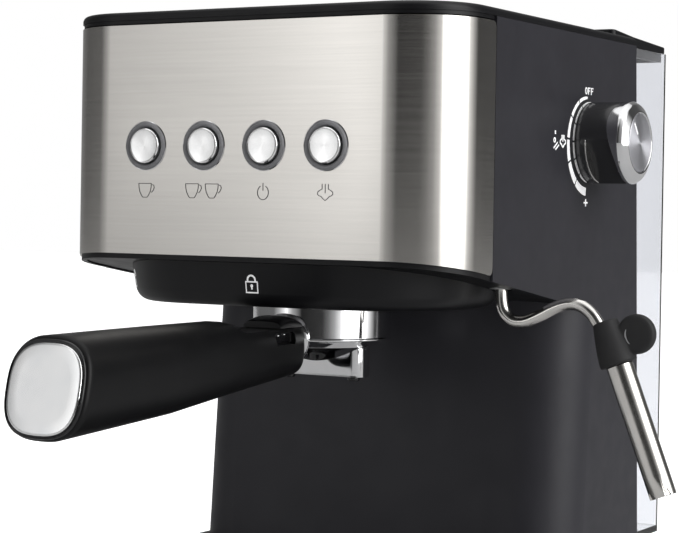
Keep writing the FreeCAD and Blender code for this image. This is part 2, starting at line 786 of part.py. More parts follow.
def valves():
    """Relief valve after the pump and the steam valve behind the knob."""
    spun("relief_valve", [(0, 0), (4.2, 0), (4.2, 3.8), (9, 3.8), (9, 23.8), (4, 23.8), (4, 29.8), (0, 29.8)],
         x=pump_x, y=deep(pump_deep), z=pump_high + 42.2)
    body = new_body("steam_valve")
    knob_y = deep(knob_deep)
    reach, left, right = 11, 58, 86
    seat = sketch(body, "XY", knob_high - reach)
    block(seat, left, right, knob_y - reach, knob_y + reach)
    pad(body, seat, 2 * reach)
    neck = sketch(body, "YZ", right)
    circle(neck, knob_y, knob_high, 5.6)
    pad(body, neck, half - right + 0.3)
    bore = sketch(body, "YZ", 68)
    circle(bore, knob_y, knob_high, 3.1)
    pocket(body, bore, 60, reverse=True)


def hoses():
    """Pipes between tank, pump, thermoblock, steam valve and wand."""
    pump_y, knob_y = deep(pump_deep), deep(knob_deep)
    group_y, outlet_y, wand_y = deep(group_deep), deep(90), deep(wand_deep)
    valve_x, run_high, cross_high = 72, knob_high + 15.2, 214
    tube("feed_hose", [(pump_x, pump_y, 65.8), (pump_x, pump_y, 60.5), (-20, pump_y, 60.5)], 3.4, 2, 4)
    tube("pressure_hose", [(pump_x, pump_y, 182.2), (pump_x, pump_y, 222), (pump_x, group_y, 222),
                           (-40.3, group_y, 222)], 2.2, 1, 4)
    tube("steam_pipe", [(10, outlet_y, block_top + 0.2), (10, outlet_y, run_high),
                        (valve_x, outlet_y, run_high), (valve_x, knob_y, run_high),
                        (valve_x, knob_y, knob_high + 11.3)], pipe_radius, 1, 3)
    tube("wand_pipe", [(valve_x, knob_y, knob_high - 11.3), (valve_x, knob_y, cross_high),
                       (wand_x, deep(100), cross_high), (wand_x, wand_y, 205), (wand_x, wand_y, 191.5)],
         pipe_radius, 1, 5)


def tank_dock():
    """Socket in the base that opens the tank's valve and feeds the pump."""
    spun("tank_dock", [(1.8, seat_top + 0.1), (9, seat_top + 0.1), (9, seat_top + 1.2),
                       (7, seat_top + 1.2), (7, seat_top + 1.3), (1.8, seat_top + 1.3)], y=deep(valve_deep))


# ---------------------------------------------------------------- controls
def control_board():
    """Circuit board behind the front frame."""
    body = new_body("control_board")
    plan = sketch(body, "XZ", -deep(17))
    block(plan, -70, 66, 216, 262)
    pad(body, plan, 1.6)


def button_switches():
    """Four tact switches on the board, one group."""
    switches = []
    for x in button_places():
        near = deep(stem_end + button_travel + 0.5)
        switches.append(box(x - 3, x + 3, near, deep(15.3), button_row - 3, button_row + 3))
    joined("button_switches", switches, "Part::Compound")


def buttons():
    """Four push buttons, each in its own ring."""
    names = ("one_cup", "two_cup", "power", "steam")
    for name, x in zip(names, button_places()):
        turn = {"axis": (1, 0, 0), "angle": 90}
        spun(f"{name}_ring", [(button_radius + gap, -2.5), (bezel_radius - 1.1, -2.5),
                              (bezel_radius - 1.1, 0.1), (bezel_radius, 0.1), (bezel_radius - 0.5, 1.3),
                              (button_radius + gap + 0.7, 0.9), (button_radius + gap, 0.2)],
             x=x, y=front, z=button_row, **turn)
        spun(f"{name}_button", [(0, -stem_end), (2.6, -stem_end), (2.6, -4), (button_radius, -4),
                                (button_radius, 1.2), (button_radius - 0.8, 2), (0, 1.8)],
             x=x, y=front, z=button_row, **turn)


def steam_knob():
    """Knob just clear of the side, with its metal-look cap, on the steam valve's spindle."""
    turn = {"x": half, "y": deep(knob_deep), "z": knob_high, "axis": (0, 1, 0), "angle": 90}
    r = knob_radius
    rim = knob_out - 5.5
    bore = 2.6
    spun("knob_body", [(bore, 3), (5, 3), (5, 1.2), (r - 0.6, 1.2), (r, 1.8), (r, rim), (bore, rim)], **turn)
    spun("knob_cap", [(0, rim), (r, rim), (r, rim + 1.8), (r - 1.4, rim + 3.4), (r - 4.8, rim + 5.3),
                      (r - 5.6, rim + 4.8), (0, rim + 4.8)], **turn)
    spun("valve_spindle", [(0, -30), (3, -30), (3, -12), (2.5, -12), (2.5, rim - 0.1), (0, rim - 0.1)],
         **turn)


# ---------------------------------------------------------------- steam wand
def wand():
    """Wand bent up and out to the right, with grip, finger tab and frothing sleeve."""
    y = deep(wand_deep)
    under_wand = number(under(wand_deep))
    spun("wand_bushing", [(wand_radius + 0.05, under_wand + 0.7), (wand_radius + 2.4, under_wand + 0.7),
                          (wand_radius + 2.4, under_wand + 5), (wand_radius + 0.05, under_wand + 5)],
         x=wand_x, y=y)
    route = [(0, 191), (0, 163.2), (11, 163.2), (34, 173.4), (48.5, 164.8), (61.2, 131.8)]
    tube("wand_tube", [(wand_x + x, y, z) for x, z in route], wand_radius, 1.5, 9)
    body = new_body("wand_grip")
    length = 19
    grip = [sketch(body, "XY", level) for level in (0, length * 0.5, length)]
    for drawing, radius in zip(grip, (8, 7.4, 5.2)):
        circle(drawing, 0, 0, radius)
    loft(body, grip)
    tab = sketch(body, "XZ", -2.5)
    circle(tab, 12, 11.5, 8.3)
    pad(body, tab, 5)
    neck = sketch(body, "XZ", -2)
    block(neck, 2, 12, 7, 16)
    pad(body, neck, 4)
    hole = sketch(body, "XY", -1)
    circle(hole, 0, 0, wand_radius + 0.02)
    pocket(body, hole, length + 2, reverse=True)
    lean = math.degrees(math.atan2(12.7, 33))
    place(body, wand_x + 55, y, 147.9, (0, 1, 0), -lean)
    sleeve = new_body("froth_sleeve")
    turned(sleeve, outline(sketch(sleeve, "XZ"), [
        (wand_radius + 0.02, 0), (sleeve_radius, 0), (sleeve_radius, -57), (sleeve_radius - 0.8, -57),
        (sleeve_radius - 0.8, -14), (wand_radius + 0.02, -14)]))
    notches = sketch(sleeve, "XZ")
    block(notches, -1.6, 1.6, -58, -54)
    pocket(sleeve, notches, 30, middle=True)
    place(sleeve, wand_x + 55.1, y, 147.6, (0, 1, 0), -lean)


# ---------------------------------------------------------------- portafilter
def filter_bowl():
    """Cast bowl with two bayonet ears and the root of the handle."""
    body = new_body("filter_bowl")
    inner = bowl_radius - bowl_wall
    low = bowl_low
    turned(body, outline(sketch(body, "XZ"), [
        (4, low - 3.6), (bowl_radius - 8, low - 3.6), (bowl_radius - 1.2, low), (bowl_radius, low + 0.8),
        (bowl_radius, bowl_top), (inner, bowl_top), (inner, low + 3), (inner - 3, low + 0.4), (4, low + 0.4)]))
    ears = sketch(body, "XY", 176)
    block(ears, -ear_reach, -bowl_radius + 1, -7, 7)
    block(ears, bowl_radius - 1, ear_reach, -7, 7)
    pad(body, ears, bowl_top - 176 - 0.6)
    root = sketch(body, "XZ", bowl_radius - 2)
    rounded(root, -7, 7, neck_low, neck_top, 3.5)
    pad(body, root, 22)
    place(body, 0, deep(group_deep), 0)


def spout():
    """Twin spout under the bowl, with two short outlets."""
    body = new_body("spout")
    base = sketch(body, "XY", 136)
    rounded(base, -23.4, 23.4, -6.4, 6.4, 4.5)
    pad(body, base, bowl_low - 3.7 - 136)
    cradle = sketch(body, "XZ")
    outline(cradle, [(-30, 160), (-24, 149.6), (-12, 146.8), (-9, 160)])
    outline(cradle, [(9, 160), (12, 146.8), (24, 149.6), (30, 160)])
    pocket(body, cradle, 60, middle=True)
    outlets = sketch(body, "XY", 136)
    for x in (-17, 17):
        circle(outlets, x, 0, 3.6)
    pad(body, outlets, 3.4, reverse=True)
    bores = sketch(body, "XY", 130)
    for x in (-17, 17):
        circle(bores, x, 0, 2.4)
    pocket(body, bores, 12, reverse=True)
    place(body, 0, deep(group_deep), 0)


def end_plane(offset, height):
    """Y of the handle's leaning end plane at a height, with an offset towards the bowl."""
    return deep(handle_end) + offset + end_tilt * (height - (handle_mid - 20))


def trim_end(body, offset, reach):
    """Cut away what lies beyond the leaning end plane, on the side that reach points to."""
    low, high = handle_mid - 40, handle_mid + 40
    side = sketch(body, "YZ")
    outline(side, [(end_plane(offset, low), low), (end_plane(offset, high), high),
                   (end_plane(offset + reach, high), high), (end_plane(offset + reach, low), low)])
    pocket(body, side, 60, middle=True)


def handle():
    """Moulded handle, nearly square at its front end and slimmer at the bowl."""
    body = new_body("handle")
    stations = [(handle_end, handle_wide, handle_wide, handle_mid, 15), (-60, 35, 35, 145.6, 14),
                (-14, 30, 30.5, 148.2, 13), (22, 26, 26.5, 149.6, 11.5), (37.2, 24, 24, 149.8, 10.5)]
    drawings = []
    for depth, across, tall, middle, radius in stations:
        drawing = sketch(body, "XZ", -deep(depth))
        rounded(drawing, -as_size(across) / 2, as_size(across) / 2, middle - as_size(tall) / 2,
                middle + as_size(tall) / 2, radius)
        drawings.append(drawing)
    loft(body, drawings)
    trim_end(body, 0, -20)
    step = sketch(body, "YZ")
    outline(step, [(deep(-17), 170), (deep(-10), 158.9), (deep(38), 158.9), (deep(38), 170)])
    pocket(body, step, 60, middle=True)
    socket = sketch(body, "XZ", -deep(45))
    rounded(socket, -7.1, 7.1, neck_low - 0.1, neck_top + 0.1, 3.6)
    pocket(body, socket, 27.5, reverse=True)


def handle_cap():
    """Satin plate set in the handle's front end."""
    body = new_body("handle_end_cap")
    edge = handle_wide / 2 - 2.3
    plan = sketch(body, "XZ", -deep(handle_end + 12))
    rounded(plan, -edge, edge, handle_mid - edge, handle_mid + edge, 13.5)
    pad(body, plan, 18)
    trim_end(body, -0.02, 20)
    trim_end(body, -1.42, -20)


def filter_basket():
    """Pressed steel basket that holds the coffee."""
    r = basket_radius
    spun("filter_basket", [(0, 158.2), (r - 3, 158.2), (r, 161.2), (r, bowl_top + 0.02),
                           (30.4, bowl_top + 0.02), (30.4, bowl_top + 0.8), (r - 0.8, bowl_top + 0.8),
                           (r - 0.8, 161.6), (r - 3.4, 159), (0, 159)], y=deep(group_deep))


def basket_clip():
    """Flap on the handle's neck that holds the basket when the coffee is knocked out."""
    body = new_body("basket_clip")
    side = sketch(body, "YZ")
    outline(side, [(deep(20), 159.2), (deep(37.6), 159.2), (deep(37.6), 161.8), (deep(33), 164.2),
                   (deep(25), 163.8), (deep(20), 161)])
    pad(body, side, 19, middle=True)
    soften(body, 1, lambda edge: edge.BoundBox.XLength > 18 and edge.BoundBox.ZMin > 160)


# ---------------------------------------------------------------- drip tray and tank
def drip_tray():
    """Open tray with rounded front corners and a seat for the grid."""
    body = new_body("drip_tray")
    near, far = deep(tray_front), deep(tray_back)
    plan = sketch(body, "XY", floor_top + 0.2)
    rounded(plan, -tray_wide / 2, tray_wide / 2, near, far, 16)
    pad(body, plan, tray_top - floor_top - 0.2)
    seat = sketch(body, "XY", tray_top)
    rounded(seat, -tray_wide / 2 + 2, tray_wide / 2 - 2, near + 2, far - 2, 14)
    pocket(body, seat, 4)
    inside = sketch(body, "XY", tray_top)
    rounded(inside, -tray_wide / 2 + 4, tray_wide / 2 - 4, near + 4, far - 4, 12)
    pocket(body, inside, tray_top - floor_top - 3)


def drip_grid():
    """Steel grid with rows of slots, and a hole for the float."""
    body = new_body("drip_grid")
    near, far = deep(tray_front), deep(tray_back)
    plan = sketch(body, "XY", tray_top - 3.9)
    rounded(plan, -tray_wide / 2 + 2.4, tray_wide / 2 - 2.4, near + 2.4, far - 2.4, 13.6)
    pad(body, plan, 1.4)
    slots = sketch(body, "XY", tray_top)
    for row in range(3):
        low = near + 22 + row * 28
        rounded(slots, -82.4, -78.2, low, low + 22, 2)
    repeat(body, pocket(body, slots, 10), "H_Axis", 160.6, 15)
    float_hole = sketch(body, "XY", tray_top)
    circle(float_hole, 0, near + float_set_back, 5)
    pocket(body, float_hole, 10)


def tray_float():
    """Float that rises through the grid when the tray is full."""
    y = deep(tray_front) + float_set_back
    spun("tray_float", [(0, 18.2), (9, 18.2), (9, 24), (3.4, 26), (3.4, tray_top - 4.5),
                        (4.2, tray_top - 2.9), (0, tray_top - 2.9)], y=y)


def water_tank():
    """Clear tank with rounded rear corners, leaning front wall and a valve hole in its floor."""
    body = new_body("water_tank")

    def plan(inset, height):
        drawing = sketch(body, "XY", height)
        near = deep(body_back(height)) + 0.6 + inset
        return rounded(drawing, -tank_wide / 2 + inset, tank_wide / 2 - inset, near, back - inset,
                       tank_corner - inset)

    loft(body, [plan(0, tank_low), plan(0, tank_top)], ruled=True)
    inner = [plan(tank_wall, tank_low + 3), plan(tank_wall, tank_top + 1)]
    loft(body, inner, "SubtractiveLoft", ruled=True)
    hole = sketch(body, "XY", tank_low - 1)
    circle(hole, 0, deep(valve_deep), 4)
    pocket(body, hole, 8, reverse=True)


def tank_lid():
    """Lid that slopes to the rear, with a front lip over the top cover and a rim inside the tank."""
    body = new_body("tank_lid")
    under_lip = lid_top - 2.6
    plan = sketch(body, "XY", under_lip)
    rounded(plan, -tank_wide / 2 + 1, tank_wide / 2 - 1, deep(lid_front), back, tank_corner - 0.4)
    pad(body, plan, 2.6)
    skirt = sketch(body, "XY", tank_top + 0.3)
    rounded(skirt, -tank_wide / 2 + 1, tank_wide / 2 - 1, deep(back_high + 2.6), back, tank_corner - 0.4)
    pad(body, skirt, under_lip - tank_top - 0.3)
    slope = sketch(body, "YZ")
    outline(slope, [(deep(lid_front) - 5, lid_top + 0.36), (deep(back_high + 7), lid_mid),
                    (back + 1, lid_rear), (back + 1, lid_top + 5), (deep(lid_front) - 5, lid_top + 5)])
    pocket(body, slope, width * 2, middle=True)
    plug = sketch(body, "XY", tank_top - 4)
    inset = tank_wall + 1
    rounded(plug, -tank_wide / 2 + inset, tank_wide / 2 - inset, deep(back_high + 3.4 + tank_wall),
            back - inset, 2)
    pad(body, plug, 4.4)
    hollow = sketch(body, "XY", tank_top - 5)
    rounded(hollow, -tank_wide / 2 + inset + 2, tank_wide / 2 - inset - 2,
            deep(back_high + 5.4 + tank_wall), back - inset - 2, 1.5)
    pocket(body, hollow, 6.8, reverse=True)
    soften(body, 0.8, lambda edge: edge.BoundBox.ZMin > lid_rear.value - 0.1
           and not all_at(edge, under_lip.value)
           and not (edge.BoundBox.XLength > 150 and abs(edge.BoundBox.YMin - deep(back_high + 7).value) < 1)
           and not (edge.BoundBox.XLength > 150 and edge.BoundBox.ZMax < under_lip.value))


def tank_valve():
    """Sprung valve in the tank's floor, held open by the dock."""
    spun("tank_valve", [(0, tank_low + 0.4), (3.4, tank_low + 0.4), (3.4, tank_low + 3.4),
                        (7, tank_low + 3.4), (7, tank_low + 6), (2, tank_low + 6), (2, tank_low + 12),
                        (0, tank_low + 12)], y=deep(valve_deep))


for build in (body_shell, rear_cover, front_panel, front_frame, underside_panel, top_cover, warming_plate,
              base_pan, feet, base_floor, power_gland, case_screws, group_collar, bayonet_ring, group_head,
              group_pieces, boiler, boiler_bolts, boiler_sensors, pump, pump_mounts, valves, hoses, tank_dock,
              control_board, button_switches, buttons, steam_knob, wand, filter_bowl, spout, handle,
              handle_cap, filter_basket, basket_clip, drip_tray, drip_grid, tray_float, water_tank,
              tank_lid, tank_valve):
    build()

doc.recompute()

# ---------------------------------------------------------------- checks and export
failed = [part.Name for part in doc.Objects if {"Invalid", "Error"} & set(part.State)]
for part in sub_parts:
    if part.Shape.isNull() or not part.Shape.isValid():
        failed.append(part.Label)
if failed:
    raise RuntimeError("failed objects: " + ", ".join(failed))
for part in sub_parts:
    part.Shape.exportStep(f"parts/{part.Label}.step")
print(len(sub_parts), "sub-parts written")
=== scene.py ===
"""Looks of a compact espresso machine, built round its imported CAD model."""

import json
import math

import bmesh
import bpy
from mathutils import Matrix, Vector
from mathutils.bvhtree import BVHTree


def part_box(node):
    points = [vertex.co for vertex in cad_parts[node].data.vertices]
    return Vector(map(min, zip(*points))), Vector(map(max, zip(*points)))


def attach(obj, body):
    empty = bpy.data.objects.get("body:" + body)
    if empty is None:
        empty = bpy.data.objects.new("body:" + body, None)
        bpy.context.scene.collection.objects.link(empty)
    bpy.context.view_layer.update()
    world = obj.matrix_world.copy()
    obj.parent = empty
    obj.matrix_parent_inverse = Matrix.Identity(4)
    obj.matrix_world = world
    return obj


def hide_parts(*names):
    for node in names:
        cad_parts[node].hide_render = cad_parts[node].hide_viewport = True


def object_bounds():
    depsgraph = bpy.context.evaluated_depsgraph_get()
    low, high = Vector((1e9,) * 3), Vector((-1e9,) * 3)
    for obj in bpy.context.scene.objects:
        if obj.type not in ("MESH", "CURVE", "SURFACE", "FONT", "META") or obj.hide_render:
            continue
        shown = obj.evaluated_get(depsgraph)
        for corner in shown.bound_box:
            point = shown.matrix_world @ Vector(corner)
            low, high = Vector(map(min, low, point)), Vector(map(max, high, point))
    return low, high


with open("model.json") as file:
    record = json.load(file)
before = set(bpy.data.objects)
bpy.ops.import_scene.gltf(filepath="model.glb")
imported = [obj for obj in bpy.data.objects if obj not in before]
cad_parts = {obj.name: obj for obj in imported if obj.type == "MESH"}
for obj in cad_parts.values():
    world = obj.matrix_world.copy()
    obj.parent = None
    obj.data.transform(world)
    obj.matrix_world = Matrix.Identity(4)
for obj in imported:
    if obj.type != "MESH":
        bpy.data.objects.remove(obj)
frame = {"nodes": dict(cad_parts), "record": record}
cad_low, cad_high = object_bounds()
MM = 0.001
scene = bpy.context.scene


# ---------------------------------------------------------------- materials
class Finish:
    """A procedural material: the Principled shader's own values, and nodes that vary them."""

    def __init__(self, name, colour, roughness=0.5, **sockets):
        self.material = bpy.data.materials.new(name)
        self.material.use_nodes = True
        self.nodes = self.material.node_tree.nodes
        self.surface = self.nodes["Principled BSDF"]
        self.surface.inputs["Base Color"].default_value = (*colour, 1)
        self.surface.inputs["Roughness"].default_value = roughness
        for socket, value in sockets.items():
            self.surface.inputs[socket.replace("_", " ")].default_value = value
        self.colour = colour

    def link(self, source, target):
        self.material.node_tree.links.new(source, target)

    def add(self, kind, **settings):
        node = self.nodes.new(kind)
        for key, value in settings.items():
            setattr(node, key, value)
        return node

    def stretched(self, per_metre):
        """Object coordinates, so many noise cells to the metre along x, y and z."""
        place = self.add("ShaderNodeTexCoord")
        mapping = self.add("ShaderNodeMapping")
        mapping.inputs["Scale"].default_value = per_metre
        self.link(place.outputs["Object"], mapping.inputs["Vector"])
        return mapping.outputs["Vector"]

    def noise(self, per_metre, detail=2.0):
        if isinstance(per_metre, (int, float)):
            per_metre = (per_metre,) * 3
        grain = self.add("ShaderNodeTexNoise")
        grain.inputs["Scale"].default_value = 1.0
        grain.inputs["Detail"].default_value = detail
        self.link(self.stretched(per_metre), grain.inputs["Vector"])
        return grain.outputs["Fac"]

    def between(self, factor, low, high):
        """The factor's middle range mapped to low..high."""
        span = self.add("ShaderNodeMapRange")
        span.inputs["From Min"].default_value = 0.3
        span.inputs["From Max"].default_value = 0.7
        span.inputs["To Min"].default_value = low
        span.inputs["To Max"].default_value = high
        self.link(factor, span.inputs["Value"])
        return span.outputs["Result"]

    def tint(self, factor, share):
        """Colour a little darker and lighter about the material's own."""
        ramp = self.add("ShaderNodeValToRGB")
        for element, side in zip(ramp.color_ramp.elements, (-1, 1)):
            element.position = 0.5 + 0.2 * side
            element.color = (*(min(1, c * (1 + share * side)) for c in self.colour), 1)
        self.link(factor, ramp.inputs["Fac"])
        self.link(ramp.outputs["Color"], self.surface.inputs["Base Color"])
        return self

    def polish(self, factor, low, high):
        self.link(self.between(factor, low, high), self.surface.inputs["Roughness"])
        return self

    def relief(self, factor, depth, strength=1.0):
        bump = self.add("ShaderNodeBump")
        bump.inputs["Strength"].default_value = strength
        bump.inputs["Distance"].default_value = depth
        earlier = self.surface.inputs["Normal"]
        if earlier.is_linked:
            self.link(earlier.links[0].from_socket, bump.inputs["Normal"])
        self.link(factor, bump.inputs["Height"])
        self.link(bump.outputs["Normal"], self.surface.inputs["Normal"])
        return self

    def brushed(self, axis, amount):
        """Anisotropic gloss for brushing or turning round an axis."""
        tangent = self.add("ShaderNodeTangent", direction_type="RADIAL", axis=axis)
        self.link(tangent.outputs["Tangent"], self.surface.inputs["Tangent"])
        self.surface.inputs["Anisotropic"].default_value = amount
        self.surface.inputs["Anisotropic Rotation"].default_value = 0.25
        return self


def moulded(name, colour, low, high, depth=0.02 * MM, share=0.07, **sockets):
    """Moulded plastic: fine spark texture, and broad faint unevenness of gloss."""
    made = Finish(name, colour, (low + high) / 2, **sockets)
    made.tint(made.noise(35), share)
    made.polish(made.noise(90), low, high)
    return made.relief(made.noise(2600), depth).material


def brushed_steel(name, colour, along, axis="Z", amount=0.85, low=0.26, high=0.36):
    """Sheet metal with brushing that runs the way the noise is stretched."""
    made = Finish(name, colour, (low + high) / 2, Metallic=1.0)
    made.tint(made.noise(along[0], 3), 0.02)
    made.polish(made.noise(along[1], 3), low, high)
    made.relief(made.noise(along[1], 2), 0.003 * MM, 0.22)
    return made.brushed(axis, amount).material


def cast_metal(name, colour, low, high, grain, depth):
    made = Finish(name, colour, (low + high) / 2, Metallic=1.0)
    made.tint(made.noise(70), 0.05)
    made.polish(made.noise(110), low, high)
    return made.relief(made.noise(grain), depth).material


FINE = (30, 30, 4200)
BROAD = (14, 14, 900)
SPUN = ((300, 300, 300), (4000, 4000, 4000))
finishes = {
    "black_satin_plastic": moulded("black_satin", (0.0042, 0.0042, 0.0054), 0.37, 0.44, 0.003 * MM,
                                   Specular_IOR_Level=0.3),
    "charcoal_plastic": moulded("charcoal_satin", (0.0235, 0.023, 0.0285), 0.42, 0.5, 0.003 * MM,
                                Specular_IOR_Level=0.35),
    "brushed_panel": brushed_steel("brushed_panel", (0.63, 0.61, 0.58), (BROAD, FINE), amount=0.98, low=0.12,
                                   high=0.16),
    "steel_plain": brushed_steel("pressed_steel", (0.6, 0.6, 0.6), ((9, 420, 420), (18, 2000, 2000)), "X",
                                 0.5),
    "chrome_casting": cast_metal("chrome", (0.83, 0.83, 0.84), 0.04, 0.09, 60, 0.02 * MM),
    "button_metal": brushed_steel("spun_disc", (1.0, 1.0, 1.0), SPUN, "Y", 0.9, 0.16, 0.22),
    "ring_gloss": moulded("ring_gloss", (0.2, 0.2, 0.21), 0.22, 0.3, 0.002 * MM),
    "gloss_black": moulded("gloss_black", (0.01, 0.01, 0.011), 0.06, 0.12, 0.002 * MM),
    "satin_silver": cast_metal("satin_silver", (0.97, 0.98, 0.99), 0.22, 0.24, 60, 0.0002 * MM),
    "wand_steel": cast_metal("wand_steel", (0.82, 0.8, 0.77), 0.14, 0.2, 200, 0.003 * MM),
    "rubber_black": moulded("black_rubber", (0.014, 0.014, 0.015), 0.62, 0.75, 0.02 * MM),
    "tank_clear": moulded("clear_tank", (0.93, 0.94, 0.97), 0.02, 0.04, 0.0005 * MM, 0.008,
                          Transmission_Weight=1.0, IOR=1.49),
    "cast_alloy": cast_metal("cast_alloy", (0.55, 0.55, 0.56), 0.45, 0.6, 900, 0.05 * MM),
    "brass": cast_metal("brass", (0.62, 0.45, 0.2), 0.22, 0.35, 400, 0.01 * MM),
    "silicone": moulded("silicone", (0.62, 0.61, 0.57), 0.4, 0.5, 0.01 * MM),
    "board_green": moulded("board", (0.03, 0.16, 0.07), 0.3, 0.4, 0.01 * MM),
    "gasket_rubber": moulded("gasket", (0.03, 0.022, 0.02), 0.6, 0.7, 0.02 * MM),
    "grey_plastic": moulded("grey_plastic", (0.34, 0.34, 0.34), 0.4, 0.5, 0.02 * MM),
}
finishes.update({
    "bright_trim": cast_metal("bright_trim", (0.88, 0.88, 0.89), 0.08, 0.14, 300, 0.002 * MM),
    "satin_trim": cast_metal("satin_trim", (0.62, 0.61, 0.6), 0.22, 0.3, 900, 0.003 * MM),
    "knob_spun": brushed_steel("knob_spun", (0.72, 0.72, 0.76), SPUN, "X", 0.8, 0.42, 0.5),
    # Gloss black for the knob grip, lighter than gloss_black so the grip reads brighter: painted light.
    "knob_gloss": moulded("knob_gloss", (0.028, 0.028, 0.03), 0.14, 0.2, 0.002 * MM),
    "handle_satin": moulded("handle_satin", (0.0045, 0.0045, 0.005), 0.36, 0.42, 0.002 * MM,
                            Specular_IOR_Level=0.22),
    "print_black": moulded("print_black", (0.02, 0.02, 0.022), 0.5, 0.6, 0.002 * MM),
    # White print with a faint white emission, so it glows: painted light on top of the print's own white.
    "print_white": moulded("print_white", (0.95, 0.95, 0.96), 0.5, 0.6, 0.002 * MM,
                           Emission_Color=(1, 1, 1, 1), Emission_Strength=0.22),
    "print_grey": moulded("print_grey", (0.3, 0.3, 0.31), 0.5, 0.6, 0.002 * MM),
})
for part in frame["record"]["subparts"]:
    node = frame["nodes"][part["node"]]
    node.data.materials.clear()
    node.data.materials.append(finishes[part["material_slot"]])

# ---------------------------------------------------------------- mesh tools
def centre(node):
    """Middle of a CAD node's box."""
    low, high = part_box(node)
    return (low + high) / 2


def millimetres(points):
    return [Vector(p) * MM for p in points]


def piece(name, points, faces, finish, body, slot=None, replaces=(), sharp=32, thick=0.0, edit=None):
    """A shown mesh that rides on a body. The slot argument is not used."""
    mesh = bpy.data.meshes.new(name)
    mesh.from_pydata([tuple(p) for p in points], [], faces)
    shape = bmesh.new()
    shape.from_mesh(mesh)
    bmesh.ops.remove_doubles(shape, verts=shape.verts, dist=1e-7)
    bmesh.ops.recalc_face_normals(shape, faces=shape.faces)
    if edit:
        edit(shape)
    shape.to_mesh(mesh)
    shape.free()
    made = bpy.data.objects.new(name, mesh)
    scene.collection.objects.link(made)
    mesh.materials.append(finishes[finish])
    if thick:
        shell = made.modifiers.new("sheet", "SOLIDIFY")
        shell.thickness = thick
        shell.offset = -1
        shell.use_even_offset = True
    settle(made, sharp)
    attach(made, body)
    if replaces:
        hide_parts(*replaces)
    return made


def settle(made, sharp=32):
    """Apply the modifiers, and shade smooth except at real edges."""
    bpy.context.view_layer.update()
    evaluated = made.evaluated_get(bpy.context.evaluated_depsgraph_get())
    mesh = bpy.data.meshes.new_from_object(evaluated)
    made.modifiers.clear()
    made.data = mesh
    mesh.polygons.foreach_set("use_smooth", [True] * len(mesh.polygons))
    mesh.set_sharp_from_angle(angle=math.radians(sharp))
    mesh.update()


def carve(made, low, high, sharp=34):
    """Cut a box, given by two corners in millimetres, out of a piece."""
    mesh = bpy.data.meshes.new("cutter")
    shape = bmesh.new()
    bmesh.ops.create_cube(shape, size=1.0)
    for vert in shape.verts:
        vert.co = Vector([(a + b) / 2 + (b - a) * c for a, b, c in zip(low, high, vert.co)]) * MM
    bmesh.ops.bevel(shape, geom=shape.edges[:], offset=0.8 * MM, segments=3, affect="EDGES")
    shape.to_mesh(mesh)
    shape.free()
    cutter = bpy.data.objects.new("cutter", mesh)
    scene.collection.objects.link(cutter)
    cut = made.modifiers.new("cut", "BOOLEAN")
    cut.operation = "DIFFERENCE"
    cut.solver = "EXACT"
    cut.object = cutter
    settle(made, sharp)
    bpy.data.objects.remove(cutter)


def skin(rings, closed=True, caps=True):
    """Faces over a row of equal rings of points, with ends closed."""
    points = [p for ring in rings for p in ring]
    count = len(rings[0])
    faces = []
    for i in range(len(rings) - 1):
        for j in range(count if closed else count - 1):
            k = (j + 1) % count
            faces.append((i * count + j, i * count + k, (i + 1) * count + k, (i + 1) * count + j))
    if caps:
        faces.append(tuple(range(count)))
        faces.append(tuple(range(len(points) - count, len(points))))
    return points, faces


def lathe(profile, place, axis="Z", sides=96, closed=False):
    """Turn (radius, along) points in millimetres round an axis through a place in metres."""
    ways = {"Z": ((1, 0, 0), (0, 1, 0), (0, 0, 1)), "-Y": ((1, 0, 0), (0, 0, 1), (0, -1, 0)),
            "X": ((0, 1, 0), (0, 0, 1), (1, 0, 0))}
    across, upward, along = (Vector(v) for v in ways[axis])
    rings = []
    for radius, height in profile:
        ring = []
        for i in range(sides):
            turn = 2 * math.pi * i / sides
            offset = across * (radius * math.cos(turn)) + upward * (radius * math.sin(turn)) + along * height
            ring.append(place + offset * MM)
        rings.append(ring)
    if closed:
        rings.append(rings[0])
        return skin(rings, caps=False)
    return skin(rings)


def rounded_profile(corners, radius=0.4, steps=4):
    """A (radius, along) profile with its inner corners rounded."""
    result = [corners[0]]
    for before, here, after in zip(corners, corners[1:], corners[2:]):
        a, b, c = Vector(before), Vector(here), Vector(after)
        reach = min(radius, (a - b).length * 0.45, (c - b).length * 0.45)
        start, end = b + (a - b).normalized() * reach, b + (c - b).normalized() * reach
        for i in range(steps + 1):
            t = i / steps
            result.append(tuple(start * (1 - t) ** 2 + b * 2 * t * (1 - t) + end * t * t))
    result.append(corners[-1])
    return result


def smooth_path(points, per_span=8):
    """Points along a Catmull-Rom curve through the given ones."""
    full = [points[0] * 2 - points[1]] + list(points) + [points[-1] * 2 - points[-2]]
    line = []
    for a, b, c, d in zip(full, full[1:], full[2:], full[3:]):
        for i in range(per_span):
            t = i / per_span
            line.append(0.5 * ((2 * b) + (c - a) * t + (2 * a - 5 * b + 4 * c - d) * t * t
                               + (3 * b - a - 3 * c + d) * t ** 3))
    return line + [points[-1]]


def sweep(line, radius, side, sides=40):
    """A round bar along a line that lies in the plane square to side."""
    rings = []
    for i, here in enumerate(line):
        ahead = (line[min(i + 1, len(line) - 1)] - line[max(i - 1, 0)]).normalized()
        up = side.cross(ahead)
        rings.append([here + (side * math.cos(t) + up * math.sin(t)) * radius
                      for t in (2 * math.pi * j / sides for j in range(sides))])
    return skin(rings)


def superellipse(wide, tall, power, count=72):
    """Points of a soft-cornered oblong about the origin."""
    points = []
    for i in range(count):
        turn = 2 * math.pi * i / count
        c, s = math.cos(turn), math.sin(turn)
        points.append((math.copysign(abs(c) ** (2 / power), c) * wide / 2,
                       math.copysign(abs(s) ** (2 / power), s) * tall / 2))
    return points


def join(parts):
    """Several (points, faces) as one."""
    points, faces = [], []
    for more_points, more_faces in parts:
        start = len(points)
        points += list(more_points)
        faces += [tuple(i + start for i in face) for face in more_faces]
    return points, faces


